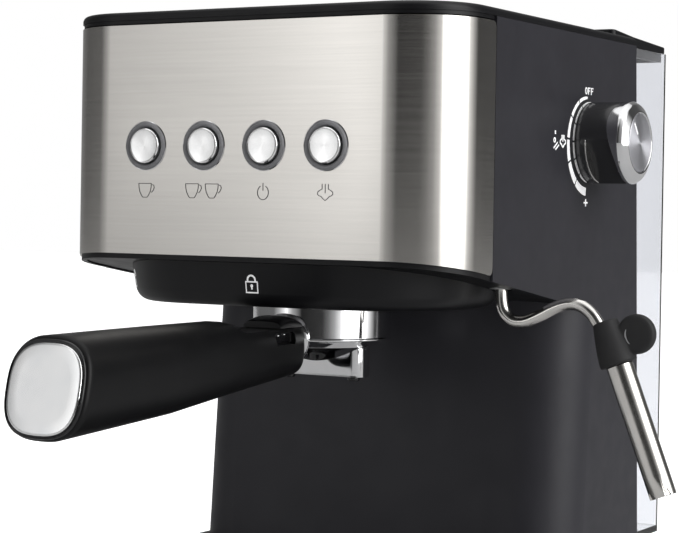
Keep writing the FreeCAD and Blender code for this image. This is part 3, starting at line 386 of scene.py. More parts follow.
# ---------------------------------------------------------------- printed marks
PRINT_THICK = 0.12 * MM
surfaces = {}


def on_surface(node, point, direction):
    """Where a ray from a point meets a CAD node, and the surface's normal there."""
    if node not in surfaces:
        shown = frame["nodes"][node]
        points = [shown.matrix_world @ vert.co for vert in shown.data.vertices]
        surfaces[node] = BVHTree.FromPolygons(points, [tuple(face.vertices) for face in shown.data.polygons])
    place, normal, _, _ = surfaces[node].ray_cast(point, direction)
    if place is None:
        return point, -direction
    return place, normal


def ribbon(line, normals, width, closed=False):
    """A thin flat stroke that follows a line on a surface."""
    rings = []
    count = len(line)
    for i, here in enumerate(line):
        if closed:
            ahead = line[(i + 1) % count] - line[i - 1]
        else:
            ahead = line[min(i + 1, count - 1)] - line[max(i - 1, 0)]
        wide = width if isinstance(width, (int, float)) else width[i]
        side = normals[i].cross(ahead).normalized() * wide / 2
        lift = normals[i] * PRINT_THICK
        rings.append([here - side - lift * 0.4, here + side - lift * 0.4,
                      here + side + lift, here - side + lift])
    if closed:
        rings.append(rings[0])
    return skin(rings, caps=not closed)


def printed(name, strokes, finish, slot, node, direction, to_space, body):
    """Strokes drawn on a CAD node. A stroke is (2-D points in millimetres, width, closed)."""
    parts = []
    for points, width, closed in strokes:
        hits = [on_surface(node, to_space(x, y), direction) for x, y in points]
        wide = width * MM if isinstance(width, (int, float)) else [w * MM for w in width]
        parts.append(ribbon([h[0] for h in hits], [h[1] for h in hits], wide, closed))
    return piece(name, *join(parts), finish, body, slot, sharp=40)


def arc(x, y, radius_x, radius_y, start, end, count=20):
    return [(x + radius_x * math.cos(math.radians(start + (end - start) * i / count)),
             y + radius_y * math.sin(math.radians(start + (end - start) * i / count)))
            for i in range(count + 1)]


# ---------------------------------------------------------------- steel front
HEAD_CORNER = 31.5
STEEL = 0.8


def steel_front():
    """Steel sheet bent round the head: drawn flat with its button holes, then bent."""
    low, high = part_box("front_panel")
    half, front, top = high.x / MM, low.y / MM, high.z / MM
    flat, bend = half - HEAD_CORNER, HEAD_CORNER * math.pi / 2
    reach = flat + bend + (high.y - low.y) / MM - HEAD_CORNER
    edge_low, fall, levels, bend_steps, end_round = 190.0, 0.15, 24, 30, 3.0

    def bent(u, z):
        """The place of a point this far along the sheet from its middle."""
        side, along = math.copysign(1, u), max(0.0, abs(u) - flat)
        turn = min(along, bend) / HEAD_CORNER
        return Vector((u if not along else side * (flat + HEAD_CORNER * math.sin(turn)),
                       front + HEAD_CORNER * (1 - math.cos(turn)) + max(0.0, along - bend), z)) * MM

    def column(u):
        """A column of points up the sheet, shorter where its ends are rounded."""
        bottom = edge_low - fall * (bent(u, 0).y / MM - front)
        near_end = max(0.0, abs(u) - reach + end_round)
        drop = end_round - math.sqrt(max(0.0, end_round ** 2 - near_end ** 2))
        ceiling, floor_level = top - drop, bottom + drop
        return [bent(u, floor_level + (ceiling - floor_level) * k / levels) for k in range(levels + 1)]

    stations = [flat + bend * i / bend_steps for i in range(bend_steps + 1)]
    stations += [reach - end_round * (1 - math.sin(math.radians(a))) for a in (0, 15, 30, 45, 60, 75, 90)]
    wraps = [skin([column(side * u) for u in stations], closed=False, caps=False) for side in (-1, 1)]
    button_low, button_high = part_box("one_cup_ring")
    hole = (button_high.x - button_low.x) / 2 - 0.9 * MM
    holes = []
    for name in BUTTONS:
        place = centre(f"{name}_ring")
        holes.append([Vector((place.x + hole * math.cos(t), front * MM, place.z + hole * math.sin(t)))
                      for t in (2 * math.pi * i / 72 for i in range(72))])
    border = column(-flat) + column(flat)[::-1]

    def fill(shape):
        """Close the flat middle round the holes, and turn every face outwards."""
        edges = []
        for loop in holes + [border]:
            verts = [shape.verts.new(point) for point in loop]
            edges += [shape.edges.new((a, b)) for a, b in zip(verts, verts[1:] + verts[:1])]
        bmesh.ops.triangle_fill(shape, use_beauty=True, use_dissolve=False, edges=edges)
        bmesh.ops.remove_doubles(shape, verts=shape.verts, dist=1e-6)
        bmesh.ops.recalc_face_normals(shape, faces=shape.faces)
        shape.normal_update()
        if sum(face.normal.y for face in shape.faces) > 0:
            bmesh.ops.reverse_faces(shape, faces=shape.faces)

    piece("steel_front", *join(wraps), "brushed_panel", "machine",
          replaces=["front_panel"], thick=STEEL * MM, sharp=28, edit=fill)


BUTTONS = ("one_cup", "two_cup", "power", "steam")
steel_front()


# ---------------------------------------------------------------- buttons and marks on the steel
def buttons():
    """Spun discs with a fine rim in glossy rings."""
    for name in BUTTONS:
        low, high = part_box(f"{name}_button")
        place = Vector(((low.x + high.x) / 2, low.y, (low.z + high.z) / 2))
        radius = (high.x - low.x) / MM / 2
        length = (high.y - low.y) / MM
        disc = rounded_profile([(0, -length), (2.6, -length), (2.6, -6), (radius, -6), (radius, -0.55),
                                (radius - 0.5, -0.05), (radius - 0.9, -0.22), (radius * 0.5, -0.3),
                                (0, -0.34)], 0.12, 2)
        piece(f"{name}_disc", *lathe(disc, place, "-Y"), "button_metal", f"{name}_button",
              "button_metal", replaces=[f"{name}_button"], sharp=24)
        low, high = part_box(f"{name}_ring")
        place = Vector(((low.x + high.x) / 2, low.y, (low.z + high.z) / 2))
        outer = (high.x - low.x) / MM / 2
        ring = rounded_profile([(radius + 0.4, -3.8), (outer - 1.1, -3.8), (outer - 1.1, -1.22),
                                (outer, -1.22), (outer - 0.15, -0.75), (outer - 0.75, -0.1),
                                (outer - 1.3, 0), (radius + 0.85, -0.55), (radius + 0.4, -1.3),
                                (radius + 0.4, -3.8)], 0.15, 3)
        piece(f"{name}_bezel", *lathe(ring, place, "-Y", closed=True), "ring_gloss", "machine",
              replaces=[f"{name}_ring"], sharp=50)
        lip = [(outer - 0.02, -1.28), (outer + 0.32, -1.28), (outer + 0.3, -1.08), (outer + 0.1, -0.98),
               (outer - 0.05, -1.05)]
        piece(f"{name}_trim", *lathe(lip + lip[:1], place, "-Y", closed=True), "bright_trim",
              "machine", "steel_plain", sharp=50)


def cup_strokes(x, y, wide=0.28):
    body = [(-3.5, 3.0), (3.2, 3.0)]
    side = [(-3.5, 3.0), (-3.35, 1.2), (-2.9, -0.6), (-2.0, -2.2), (-1.3, -3.0), (1.0, -3.0), (1.7, -2.2),
            (2.6, -0.6), (3.05, 1.2), (3.2, 3.0)]
    ear = [(3.7, 2.5), (4.5, 2.2), (4.75, 1.2), (4.3, 0.1), (3.3, -0.9)]
    return [([(x + a, y + b) for a, b in line], wide, False) for line in (body, side, ear)]


def power_strokes(x, y, wide=0.3):
    circle = [(x + a, y - 0.4 + b) for a, b in arc(0, 0, 2.7, 3.0, 118, 422, 40)]
    return [(circle, wide, False), ([(x, y + 0.4), (x, y + 3.6)], wide, False)]


def steam_strokes(x, y, wide=0.28, share=1.0):
    cloud = [(-1.5, 3.4), (-1.5, 1.2), (-2.4, 0.9), (-3.5, 0.2), (-3.7, -0.8), (-3.0, -1.5), (-1.9, -1.7),
             (-1.2, -2.6), (0, -3.4), (1.2, -2.6), (1.9, -1.7), (3.0, -1.5), (3.7, -0.8), (3.5, 0.2),
             (2.4, 0.9), (1.5, 1.2), (1.5, 3.4)]
    lines = [cloud, [(0, 3.4), (0, -0.4)]]
    return [([(x + a * share, y + b * share) for a, b in line], wide, False) for line in lines]


def panel_marks():
    """Outline pictures of what each button does."""
    row = centre("one_cup_ring").z / MM - 19.3
    xs = [centre(f"{name}_ring").x / MM for name in BUTTONS]
    strokes = cup_strokes(xs[0], row)
    strokes += cup_strokes(xs[1] - 5.6, row) + cup_strokes(xs[1] + 4.6, row)
    strokes += power_strokes(xs[2], row) + steam_strokes(xs[3], row)
    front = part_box("front_panel")[0].y
    printed("button_marks", strokes, "print_black", "gloss_black", "front_panel", Vector((0, 1, 0)),
            lambda x, y: Vector((x * MM, front - 0.05, y * MM)), "machine")


buttons()
panel_marks()


# ---------------------------------------------------------------- marks on collar and side
def lock_strokes(x, y, open_side=False):
    body = [(-2.9, -4.2), (2.9, -4.2), (2.9, 0.4), (-2.9, 0.4)]
    outline = [([(x + a, y + b) for a, b in body], 0.75, True)]
    hasp_shift = 2.4 if open_side else 0
    hasp = [(-1.9, 0.5), (-1.9, 1.2)] + arc(0, 1.2, 1.9, 1.9, 180, 0, 14) + [(1.9, 1.2), (1.9, 0.5)]
    shackle = [([(x + a + hasp_shift, y + b) for a, b in hasp], 0.8, False)]
    key = [([(x, y - 2.9), (x, y - 1.3)], 0.7, False), (arc(x, y - 1.3, 0.35, 0.35, 0, 360, 12), 0.7, False)]
    return outline + shackle + key


def collar_marks():
    """Closed lock at the collar's front, open lock on its left."""
    middle = centre("filter_bowl")
    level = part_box("group_collar")[0].z / MM + 10.5
    printed("lock_mark", lock_strokes(3.4, level), "print_white", "satin_silver", "group_collar",
            Vector((0, 1, 0)), lambda x, y: Vector((x * MM, middle.y - 0.2, y * MM)), "machine")
    turn = math.radians(-62)
    way = Vector((math.cos(turn + math.pi / 2), math.sin(turn + math.pi / 2), 0))
    across = Vector((way.y, -way.x, 0))
    printed("unlock_mark", lock_strokes(0, level, True), "print_white", "satin_silver",
            "group_collar", way,
            lambda x, y: middle.xy.to_3d() - way * 0.2 + across * (x * MM) + Vector((0, 0, y * MM)),
            "machine")


def dial_marks():
    """Two arcs that widen towards the full-steam end, with a few small signs, round the knob, and a black
    band of painted contact shadow round its front half.
    """
    knob = centre("knob_body")
    knob_y, knob_z = knob.y / MM, knob.z / MM
    strokes = []

    def along(y, z, radius, start, end, steps=14):
        """Points of an arc: 90 degrees is up, 180 is towards the front."""
        turns = [math.radians(start + (end - start) * i / steps) for i in range(steps + 1)]
        return [(y + radius * math.cos(t), z + radius * math.sin(t)) for t in turns]

    outer_y, outer_z, stops = knob_y - 1.6, knob_z - 0.3, (91, 118, 147, 176, 204, 235, 268)
    for start, end in zip(stops, stops[1:]):
        widths = [1.2 + 2.5 * max(0, (start + (end - start) * i / 14 - 90) / 178) for i in range(15)]
        rim = along(outer_y, outer_z, 20.1, start + 1.3, end - 1.3)
        strokes.append(([(outer_y + (y - outer_y) * (1 + w / 40.2), outer_z + (z - outer_z) * (1 + w / 40.2))
                         for (y, z), w in zip(rim, widths)], widths, False))
    stops = (84, 119, 154, 181, 207, 235, 263)
    for start, end in zip(stops, stops[1:]):
        wide = 1.0 + 0.7 * (start - 84) / 150
        strokes.append((along(knob_y + 0.6, knob_z + 0.4, 17.8, start + 1.4, end - 1.4), wide, False))
    # A black band round the knob's front half on the side face: painted contact shadow under the knob.
    band = [(along(knob_y - 0.5, knob_z, 19.3, 88, 266, 60), 1.5, False)]
    strokes.append((along(knob_y + 2.2, knob_z - 16.2, 0.35, 0, 342, 12), 0.6, True))
    # OFF at the shut end, plus at the full end, minus by the wand's own sign
    level = knob_z + 23.6
    for i, letter in enumerate("OFF"):
        y = knob_y - 4 + i * 3.3
        if letter == "O":
            strokes.append(([(y + a, level + b) for a, b in arc(0, 0, 0.95, 1.35, 0, 342, 18)], 0.65, True))
        else:
            strokes += [([(y - 0.9, level - 1.6), (y - 0.9, level + 1.6)], 0.75, False),
                        ([(y - 0.9, level + 1.35), (y + 1.2, level + 1.35)], 0.55, False),
                        ([(y - 0.9, level + 0.1), (y + 0.9, level + 0.1)], 0.5, False)]
    y, z = knob_y - 2.6, knob_z - 27.2
    strokes += [([(y - 2.2, z), (y + 2.2, z)], 0.7, False), ([(y, z - 1.7), (y, z + 1.7)], 0.95, False)]
    y, z = knob_y - 37, knob_z + 3.4
    strokes.append(([(y, z - 0.8), (y, z + 0.8)], 1.1, False))
    strokes += steam_strokes(y + 8.2, z - 3.6, 0.75, 0.8)
    strokes += [(arc(y - 0.6, z - 3.4, 0.9, 0.9, 0, 342, 12), 0.7, True),
                ([(y - 1.6, z - 7.0), (y + 2.6, z - 4.4)], 0.7, False),
                ([(y + 0.4, z - 7.6), (y + 4.0, z - 5.4)], 0.7, False)]
    strokes += steam_strokes(knob_y - 10.6, knob_z + 0.4, 0.5, 0.6)
    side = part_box("body_shell")[1].x
    for name, lines, finish in (("dial_marks", strokes, "print_white"), ("knob_painted_shadow", band, "print_black")):
        printed(name, lines, finish, "satin_silver" if finish == "print_white" else "gloss_black",
                "body_shell", Vector((-1, 0, 0)), lambda x, y: Vector((side + 0.05, x * MM, y * MM)),
                "machine")


collar_marks()
dial_marks()


# ---------------------------------------------------------------- steam knob
def steam_knob():
    """Gloss grip with a thumb scoop, bright ends and a spun disc with a pointer."""
    low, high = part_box("knob_body")
    axis = centre("knob_body")
    start, rim = low.x / MM, high.x / MM
    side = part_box("body_shell")[1].x / MM
    radius = (high.z - low.z) / MM / 2
    skirt = side + 5.6
    base = Vector((0, axis.y, axis.z))
    grip = rounded_profile([(2.6, start + 1.8), (5, start + 1.8), (5, start), (radius - 0.1, start),
                            (radius - 0.1, skirt), (radius - 0.1, skirt + 0.3), (radius - 0.1, rim - 0.5),
                            (radius - 1.6, rim), (2.6, rim), (2.6, start + 1.8)], 0.3, 4)
    scoop_turn = math.radians(221)
    scoop_reach = radius * 0.71

    def scoop(shape):
        """Press the grip's surface in to a shallow hollow on its lower front."""
        for vert in shape.verts:
            y, z = vert.co.y - axis.y, vert.co.z - axis.z
            if math.hypot(y, z) < (radius - 2) * MM or vert.co.x < (skirt + 0.1) * MM:
                continue
            out = y * math.cos(scoop_turn) + z * math.sin(scoop_turn)
            spare = out - scoop_reach * MM
            if spare > 0:
                vert.co.y -= spare * math.cos(scoop_turn)
                vert.co.z -= spare * math.sin(scoop_turn)

    piece("knob_grip", *lathe(grip, base, "X", 128, closed=True), "knob_gloss", "steam_knob",
          "gloss_black", replaces=["knob_body"], sharp=30, edit=scoop)
    flange = rounded_profile([(6, skirt - 0.4), (radius - 0.5, skirt - 0.4), (radius - 0.4, skirt + 0.5),
                              (radius - 0.9, skirt + 0.7), (6, skirt + 0.7), (6, skirt - 0.4)], 0.2, 3)
    piece("knob_base_disc", *lathe(flange, base, "X", 96, closed=True), "satin_trim", "steam_knob",
          "satin_silver", sharp=40)
    low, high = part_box("knob_cap")
    face = high.x / MM
    bezel = rounded_profile([(0, low.x / MM), (radius, low.x / MM), (radius, face - 3.6),
                             (radius - 1.2, face - 1.8), (radius - 4.6, face - 0.05),
                             (radius - 5.3, face - 0.2), (radius - 5.5, face - 0.9), (0, face - 0.9)], 0.5, 5)

    def wave(shape):
        """The bezel's inner edge comes down the grip on the upper front, as a bright cheek."""
        turn_of = math.radians(148)
        for vert in shape.verts:
            y, z = vert.co.y - axis.y, vert.co.z - axis.z
            if vert.co.x < low.x + 0.3 * MM and math.hypot(y, z) > (radius - 0.6) * MM:
                near = max(0.0, math.cos(math.atan2(z, y) - turn_of)) ** 3
                vert.co.x -= 4.6 * MM * near

    piece("knob_bezel", *lathe(bezel, base, "X", 128), "chrome_casting", "steam_knob",
          replaces=["knob_cap"], sharp=30, edit=wave)
    disc = rounded_profile([(0, face - 0.95), (radius - 5.7, face - 0.95), (radius - 5.7, face - 0.35),
                            (radius - 6.2, face - 0.2), (0, face - 0.3)], 0.15, 2)
    piece("knob_disc", *lathe(disc, base, "X", 96), "knob_spun", "steam_knob", "satin_silver",
          sharp=30)
    turn = math.radians(131)
    pointer = []
    for out in (5.0, 7.2, 9.4, 11.2):
        pointer.append(base + Vector((face - 0.22, out * math.cos(turn), out * math.sin(turn))) * MM)
    piece("knob_pointer", *ribbon(pointer, [Vector((1, 0, 0))] * 4, 1.0 * MM), "print_white",
          "steam_knob", "satin_silver")


steam_knob()


# ---------------------------------------------------------------- portafilter
def filter_bowl():
    """Turned bowl with a fine bottom bead, bayonet ears and the neck that enters the handle."""
    axis = centre("filter_bowl")
    low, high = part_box("filter_bowl")
    place = Vector((axis.x, (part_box("filter_basket")[0].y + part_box("filter_basket")[1].y) / 2, 0))
    top, bottom, outer, wall = high.z / MM, low.z / MM, 31.5, 3.0
    profile = rounded_profile([(4, bottom), (23.4, bottom), (29.4, bottom + 2.6), (30.9, bottom + 3.1),
                               (outer, bottom + 3.4), (outer, bottom + 4.1), (outer - 0.35, bottom + 4.5),
                               (outer - 0.35, top - 0.6), (outer - 0.9, top), (outer - wall, top),
                               (outer - wall, bottom + 6.6), (outer - wall - 3, bottom + 4),
                               (4, bottom + 4), (4, bottom)], 0.5, 4)
    parts = [lathe(profile, place, "Z", 128, closed=True)]
    reach = (high.x - low.x) / MM / 2
    for side in (-1, 1):
        rings = []
        for level in (top - 3.9, top - 3.7, top - 1.0, top - 0.7):
            inset = 0.25 if level in (top - 3.9, top - 0.7) else 0.0
            outline = [(reach - inset, math.radians(t)) for t in (-10.2, -6, -2, 2, 6, 10.2)]
            inner = [(outer - 1.4, math.radians(t)) for t in (12.2, 6, 0, -6, -12.2)]
            rings.append([place + Vector((side * r * math.cos(a), r * math.sin(a), level)) * MM
                          for r, a in outline + inner])
        parts.append(skin(rings))
    neck_low, neck_top = 149.6, 157.6
    middle = (neck_low + neck_top) / 2
    rings = []
    for along, wide, tall in ((outer - 2.6, 16, 9.2), (outer - 0.4, 15.2, 8.6), (outer + 1.2, 14, 8),
                              (outer + 5, 13.8, 7.9), (outer + 19.5, 13.8, 7.9), (outer + 20, 13, 7.2)):
        rings.append([place + Vector((x, -along, middle + z)) * MM for x, z in superellipse(wide, tall, 3)])
    parts.append(skin(rings))
    piece("chrome_bowl", *join(parts), "chrome_casting", "portafilter",
          replaces=["filter_bowl"], sharp=35)
    collar = rounded_profile([(7.2, 0), (11.6, 0), (11.6, 1.6), (10.4, 2.6), (8.6, 3.6), (7.2, 3.6),
                              (7.2, 0)], 0.5, 4)
    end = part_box("handle")[1].y
    seat = Vector((place.x, end + 3.7 * MM, middle * MM))
    piece("neck_ferrule", *lathe(collar, seat, "-Y", 72, closed=True), "chrome_casting", "portafilter",
          sharp=35)


def spout():
    """Double spout with a smooth saddle between its two ends, on a stem made gloss black as painted shade,
    with two outlet nibs.
    """
    low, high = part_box("spout")
    place = Vector(((low.x + high.x) / 2, (low.y + high.y) / 2, 0))
    half, deep_half = (high.x - low.x) / MM / 2, (high.y - low.y) / MM / 2
    bottom, top = low.z / MM + 3.4, high.z / MM
    columns = 49
    rings = []
    for i in range(columns):
        x = -half * math.cos(math.pi * i / (columns - 1))
        share = abs(x) / half
        rise = top - 6.4 + 6.2 * min(1, share * 1.06) ** 1.8
        corner = max(0.0, abs(x) - half + 4.5) / 4.5
        thin = deep_half - 4.5 + 4.5 * math.sqrt(max(0.0, 1 - corner ** 2)) + 0.01
        section = [(-thin, bottom + 0.7), (-thin + 0.7, bottom), (thin - 0.7, bottom), (thin, bottom + 0.7),
                   (thin, rise - 0.35), (thin - 0.35, rise)]
        section += [((thin - 0.35) * math.cos(math.pi * k / 10), rise - 1.1 * math.sin(math.pi * k / 10))
                    for k in range(1, 10)]
        section += [(-thin + 0.35, rise), (-thin, rise - 0.35)]
        rings.append([place + Vector((x, a, b)) * MM for a, b in section])
    piece("spout_saddle", *skin(rings), "chrome_casting", "portafilter",
          replaces=["spout"], sharp=38)
    # The stem is gloss black to stand in for the shade under the bowl: painted shade.
    stem = rounded_profile([(0, bottom + 4), (6.2, bottom + 4), (6.2, top - 3), (13, top - 0.8), (13, top),
                            (0, top)], 1.2, 5)
    piece("spout_stem_painted_shade", *lathe(stem, place, "Z", 64), "gloss_black", "portafilter",
          sharp=40)
    nibs = []
    for x in (-17, 17):
        nib = rounded_profile([(1.8, 2.2), (2.9, 2.2), (2.9, 0.6), (2.5, 0), (1.8, 0), (1.8, 2.2)], 0.4, 3)
        nibs.append(lathe(nib, place + Vector((x * MM, 0, (bottom - 2.1) * MM)), "Z", 48, closed=True))
    piece("spout_nibs", *join(nibs), "gloss_black", "portafilter", sharp=35)


END_LEAN = 0.215


def lean(rings, level):
    """Lean a handle end: the rings' points move back with height above a level."""
    return [[p + Vector((0, END_LEAN * (p.z - level * MM), 0)) for p in ring] for ring in rings]


def handle():
    """Moulded handle: soft-cornered at its leaning front end, flat-topped and slimmer at the bowl."""
    low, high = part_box("handle")
    wide = (high.x - low.x) / MM
    middle = low.z / MM + wide / 2
    start, end = low.y / MM + END_LEAN * wide / 2, high.y / MM
    step_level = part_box("basket_clip")[0].z / MM - 0.3
    stations = ((0.0, wide, wide, middle, 2.7), (0.41, 35, 35, middle + 2.6, 2.8),
                (0.69, 30, 30.5, middle + 5.2, 2.9), (0.91, 26, 26.5, middle + 6.6, 2.8),
                (1.0, 24, 24, middle + 6.8, 2.7))

    def shape_at(share):
        for a, b in zip(stations, stations[1:]):
            if share <= b[0]:
                t = (share - a[0]) / (b[0] - a[0])
                return [p + (q - p) * t for p, q in zip(a[1:], b[1:])]
        return stations[-1][1:]

    length = end - start
    rims = [(0.0, -2.4), (0.0, -1.7), (0.25, -1.0), (0.7, -0.5), (1.2, -0.2), (1.9, 0.0)]
    rims += [(1.9 + (length - 3.5) * i / 90, 0.0) for i in range(1, 91)]
    rims += [(length - 1.0, -0.3), (length - 0.4, -0.9), (length, -1.8)]
    rings = []
    for along, inset in rims:
        across, tall, mid, power = shape_at(along / length)
        ramp = min(1.0, max(0.0, (along - length + 55) / 7))
        ramp = ramp * ramp * (3 - 2 * ramp)
        limit = mid + tall / 2 + (step_level - mid - tall / 2) * ramp
        fade = max(0.0, 1 - along / 60)
        ring = []
        for x, z in superellipse(across + 2 * inset, tall + 2 * inset, power, 120):
            level = min(mid + z, limit)
            ring.append(Vector((x, start + along + END_LEAN * fade * (level - middle), level)) * MM)
        rings.append(ring)
    made = piece("handle_grip", *skin(rings), "handle_satin", "portafilter",
                 "black_satin_plastic", replaces=["handle"], sharp=34)
    clip_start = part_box("basket_clip")[0].y / MM
    cheek = Vector((9.3, clip_start, step_level))
    carve(made, cheek + Vector((0, -9, -6.4)), cheek + Vector((8, 8, -1.2)))
    plate = [[(cheek + Vector((x, y, z))) * MM for y, z in ((-8.4, -6), (7.4, -6), (7.4, -1.6), (-8.4, -1.6))]
             for x in (-0.6, 0.15)]
    piece("clip_cheek", *skin(plate), "gloss_black", "portafilter", sharp=30)
    pins = []
    for y, z, radius in ((-2.2, -2.6, 0.65), (2.4, -2.2, 0.6)):
        pin = rounded_profile([(0, 0), (radius, 0), (radius, 0.4), (radius * 0.6, 0.7), (0, 0.75)], 0.15, 2)
        pins.append(lathe(pin, (cheek + Vector((0.15, y, z))) * MM, "X", 24))
    piece("clip_pins", *join(pins), "bright_trim", "portafilter", "steel_plain", sharp=40)


def handle_plate():
    """Satin plate in the handle's leaning end, with a soft edge and a shadow groove round it."""
    low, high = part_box("handle_end_cap")
    across, middle = (high.x - low.x) / MM, (low + high) / 2
    tall = (high.z - low.z) / MM
    face = low.y / MM + END_LEAN * tall / 2

    def outline(along, grow):
        return [Vector((middle.x / MM + x, along, middle.z / MM + z)) * MM
                for x, z in superellipse(across + 2 * grow, tall + 2 * grow, 2.75, 120)]

    rings = [outline(face + along, -inset) for along, inset in
             ((1.4, 0), (0.7, 0), (0.3, 0.12), (0.08, 0.45), (0.0, 1.1), (0.03, 5), (0.06, 11))]
    piece("handle_plate", *skin(lean(rings, middle.z / MM)), "satin_silver", "portafilter",
          replaces=["handle_end_cap"], sharp=40)
    seat = [outline(face + along, grow) for along, grow in
            ((1.36, 0.02), (1.36, 1.3), (0.75, 1.3), (0.35, 1.0), (0.35, 0.75), (0.9, 0.3), (1.0, 0.02))]
    piece("handle_plate_seat", *skin(lean(seat + seat[:1], middle.z / MM), caps=False),
          "gloss_black", "portafilter", sharp=60)


def clip():
    """Domed thumb clip on the neck; its hinge pin ends and side cheek are built with the handle."""
    low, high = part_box("basket_clip")
    half = (high.x - low.x) / MM / 2
    start, length = low.y / MM, (high.y - low.y) / MM
    base, top = low.z / MM, high.z / MM
    rings = []
    for i in range(25):
        share = i / 24
        rise = (top - base) * math.sin(math.pi * (0.12 + 0.76 * share)) ** 0.6
        ring = []
        for x, z in superellipse(2 * half, 2 * rise, 3.2, 48):
            if z >= -0.001:
                ring.append((x, z))
        ring = [(half, 0.0)] + sorted(ring, key=lambda p: -p[0])[1:-1] + [(-half, 0.0)]
        rings.append([Vector((x, start + length * share, base + z)) * MM for x, z in ring])
    least = min(len(r) for r in rings)
    rings = [r[:least] for r in rings]
    piece("clip_dome", *skin(rings), "black_satin_plastic", "basket_clip",
          replaces=["basket_clip"], sharp=40)


filter_bowl()
spout()
handle()
handle_plate()
clip()


# ---------------------------------------------------------------- steam wand
def wand():
    """Bent tube, rubber grip with its finger tab, and the frothing sleeve with a notched end."""
    low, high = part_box("wand_tube")
    y = (low.y + high.y) / 2 / MM
    x0 = low.x / MM + 2.7
    top = high.z / MM
    radius = 2.7
    side = Vector((0, 1, 0))
    points = [(0, top), (0, 182), (0, 174.5), (1.3, 168.4), (5.4, 164.3), (11.2, 163.9), (18, 166.6),
              (25, 170.2), (31.5, 172.3), (37.5, 171.6), (42.6, 168.0), (46.4, 162.6), (50, 155.6),
              (55.6, 142.5), (60.6, 132.2)]
    line = smooth_path(millimetres([(x0 + x, y, z) for x, z in points]), 6)
    piece("wand_bar", *sweep(line, radius * MM, side), "wand_steel", "steam_wand",
          replaces=["wand_tube"], sharp=40)
    lean = Vector((12.7, 0, -33)).normalized()
    grip_top = Vector((x0 + 55, y, 147.9)) - lean * 19

    def along(profile, start, sides=96, notch=None):
        rings = []
        across = side.cross(lean).normalized()
        for index, (radius_here, travel) in enumerate(profile):
            ring = []
            for j in range(sides):
                turn = 2 * math.pi * j / sides
                shift = notch(index, turn) if notch else 0
                ring.append((start + lean * (travel - shift)
                             + (across * math.cos(turn) + side * math.sin(turn)) * radius_here) * MM)
            rings.append(ring)
        return rings

    grip = rounded_profile([(2.75, 0), (4.9, 0), (5.4, 0.5), (6.5, 6), (7.5, 12), (8.0, 17), (8.0, 18.6),
                            (7.4, 19), (2.75, 19), (2.75, 0)], 0.8, 4)
    parts = [skin(along(grip, grip_top), caps=False)]
    tab_centre = Vector((150.5, y, 161))
    tab_profile = ((0, -2.6), (6.6, -2.6), (7.8, -2.2), (8.3, -1.3), (8.4, 0), (8.3, 1.3), (7.8, 2.2),
                   (6.6, 2.6), (0, 2.6))
    parts.append(lathe(tab_profile, tab_centre * MM, "-Y", 72))
    neck = []
    for share in (0.0, 0.25, 0.5, 0.75, 1.0):
        place = Vector((138.6, y, 158.4)).lerp(Vector((148, y, 161)), share)
        neck.append([(place + Vector((0, a, b))) * MM for a, b in superellipse(4.8 - share * 0.4, 11, 3, 40)])
    parts.append(skin(neck))
    made = piece("wand_rubber", *join(parts), "rubber_black", "steam_wand",
                 replaces=["wand_grip"], sharp=60)
    made.parent = None
    merge = made.modifiers.new("merge", "REMESH")
    merge.mode = "VOXEL"
    merge.voxel_size = 0.38 * MM
    soft = made.modifiers.new("soft", "SMOOTH")
    soft.iterations = 9
    settle(made, 180)
    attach(made, "steam_wand")
    mark = [(tab_centre + Vector((a, 0, b))) for a, b in arc(0.5, 0, 4.6, 4.9, 158, 236, 16)]
    face = -Vector((0, 1, 0))
    mark = [(p + face * 2.5) * MM for p in mark]
    widths = [0.25 + 0.5 * math.sin(math.pi * i / 16) for i in range(17)]
    piece("grip_mark", *ribbon(mark, [face] * 17, [w * MM for w in widths]), "print_grey",
          "steam_wand", "satin_silver")

    def notched(index, turn):
        """Four notches in the sleeve's open end."""
        if index not in (4, 5, 6):
            return 0
        phase = (turn / (math.pi / 2)) % 1
        depth = max(0.0, 1 - abs(phase - 0.5) / 0.16)
        return min(1.0, depth * 1.6) * 2.8

    start = grip_top + lean * 19.2
    sleeve = ((2.75, 0), (5.35, 0), (5.7, 0.35), (5.7, 48), (5.7, 56.7), (5.6, 57), (5.0, 57), (4.9, 56.6),
              (4.9, 14), (2.75, 14), (2.75, 0))
    piece("wand_sleeve", *skin(along(sleeve, start, 160, notched), caps=False), "wand_steel", "steam_wand",
          replaces=["froth_sleeve"], sharp=40)


wand()


# ---------------------------------------------------------------- studio
FLOOR_SIZE = 12.0
bpy.ops.mesh.primitive_plane_add(size=FLOOR_SIZE, location=(0, 0, cad_low.z - 0.0002))
floor = bpy.context.object
floor.name = "studio_floor"
pale = Finish("studio_floor", (0.86, 0.86, 0.86), 0.8)
pale.tint(pale.noise(3), 0.01)
pale.surface.inputs["Emission Color"].default_value = (1, 1, 1, 1)
seen_directly = pale.add("ShaderNodeLightPath")
lift = pale.add("ShaderNodeMath", operation="MULTIPLY")
lift.inputs[1].default_value = 0.72
seen_or_through = pale.add("ShaderNodeMath", operation="MAXIMUM")
pale.link(seen_directly.outputs["Is Camera Ray"], seen_or_through.inputs[0])
pale.link(seen_directly.outputs["Is Transmission Ray"], seen_or_through.inputs[1])
pale.link(seen_or_through.outputs[0], lift.inputs[0])
pale.link(lift.outputs[0], pale.surface.inputs["Emission Strength"])
quiet = pale.add("ShaderNodeMixRGB")
quiet.inputs["Color2"].default_value = (0.55, 0.55, 0.55, 1)
pale.link(seen_directly.outputs["Is Glossy Ray"], quiet.inputs["Fac"])
pale.link(pale.surface.inputs["Base Color"].links[0].from_socket, quiet.inputs["Color1"])
pale.link(quiet.outputs["Color"], pale.surface.inputs["Base Color"])
floor.data.materials.append(pale.material)

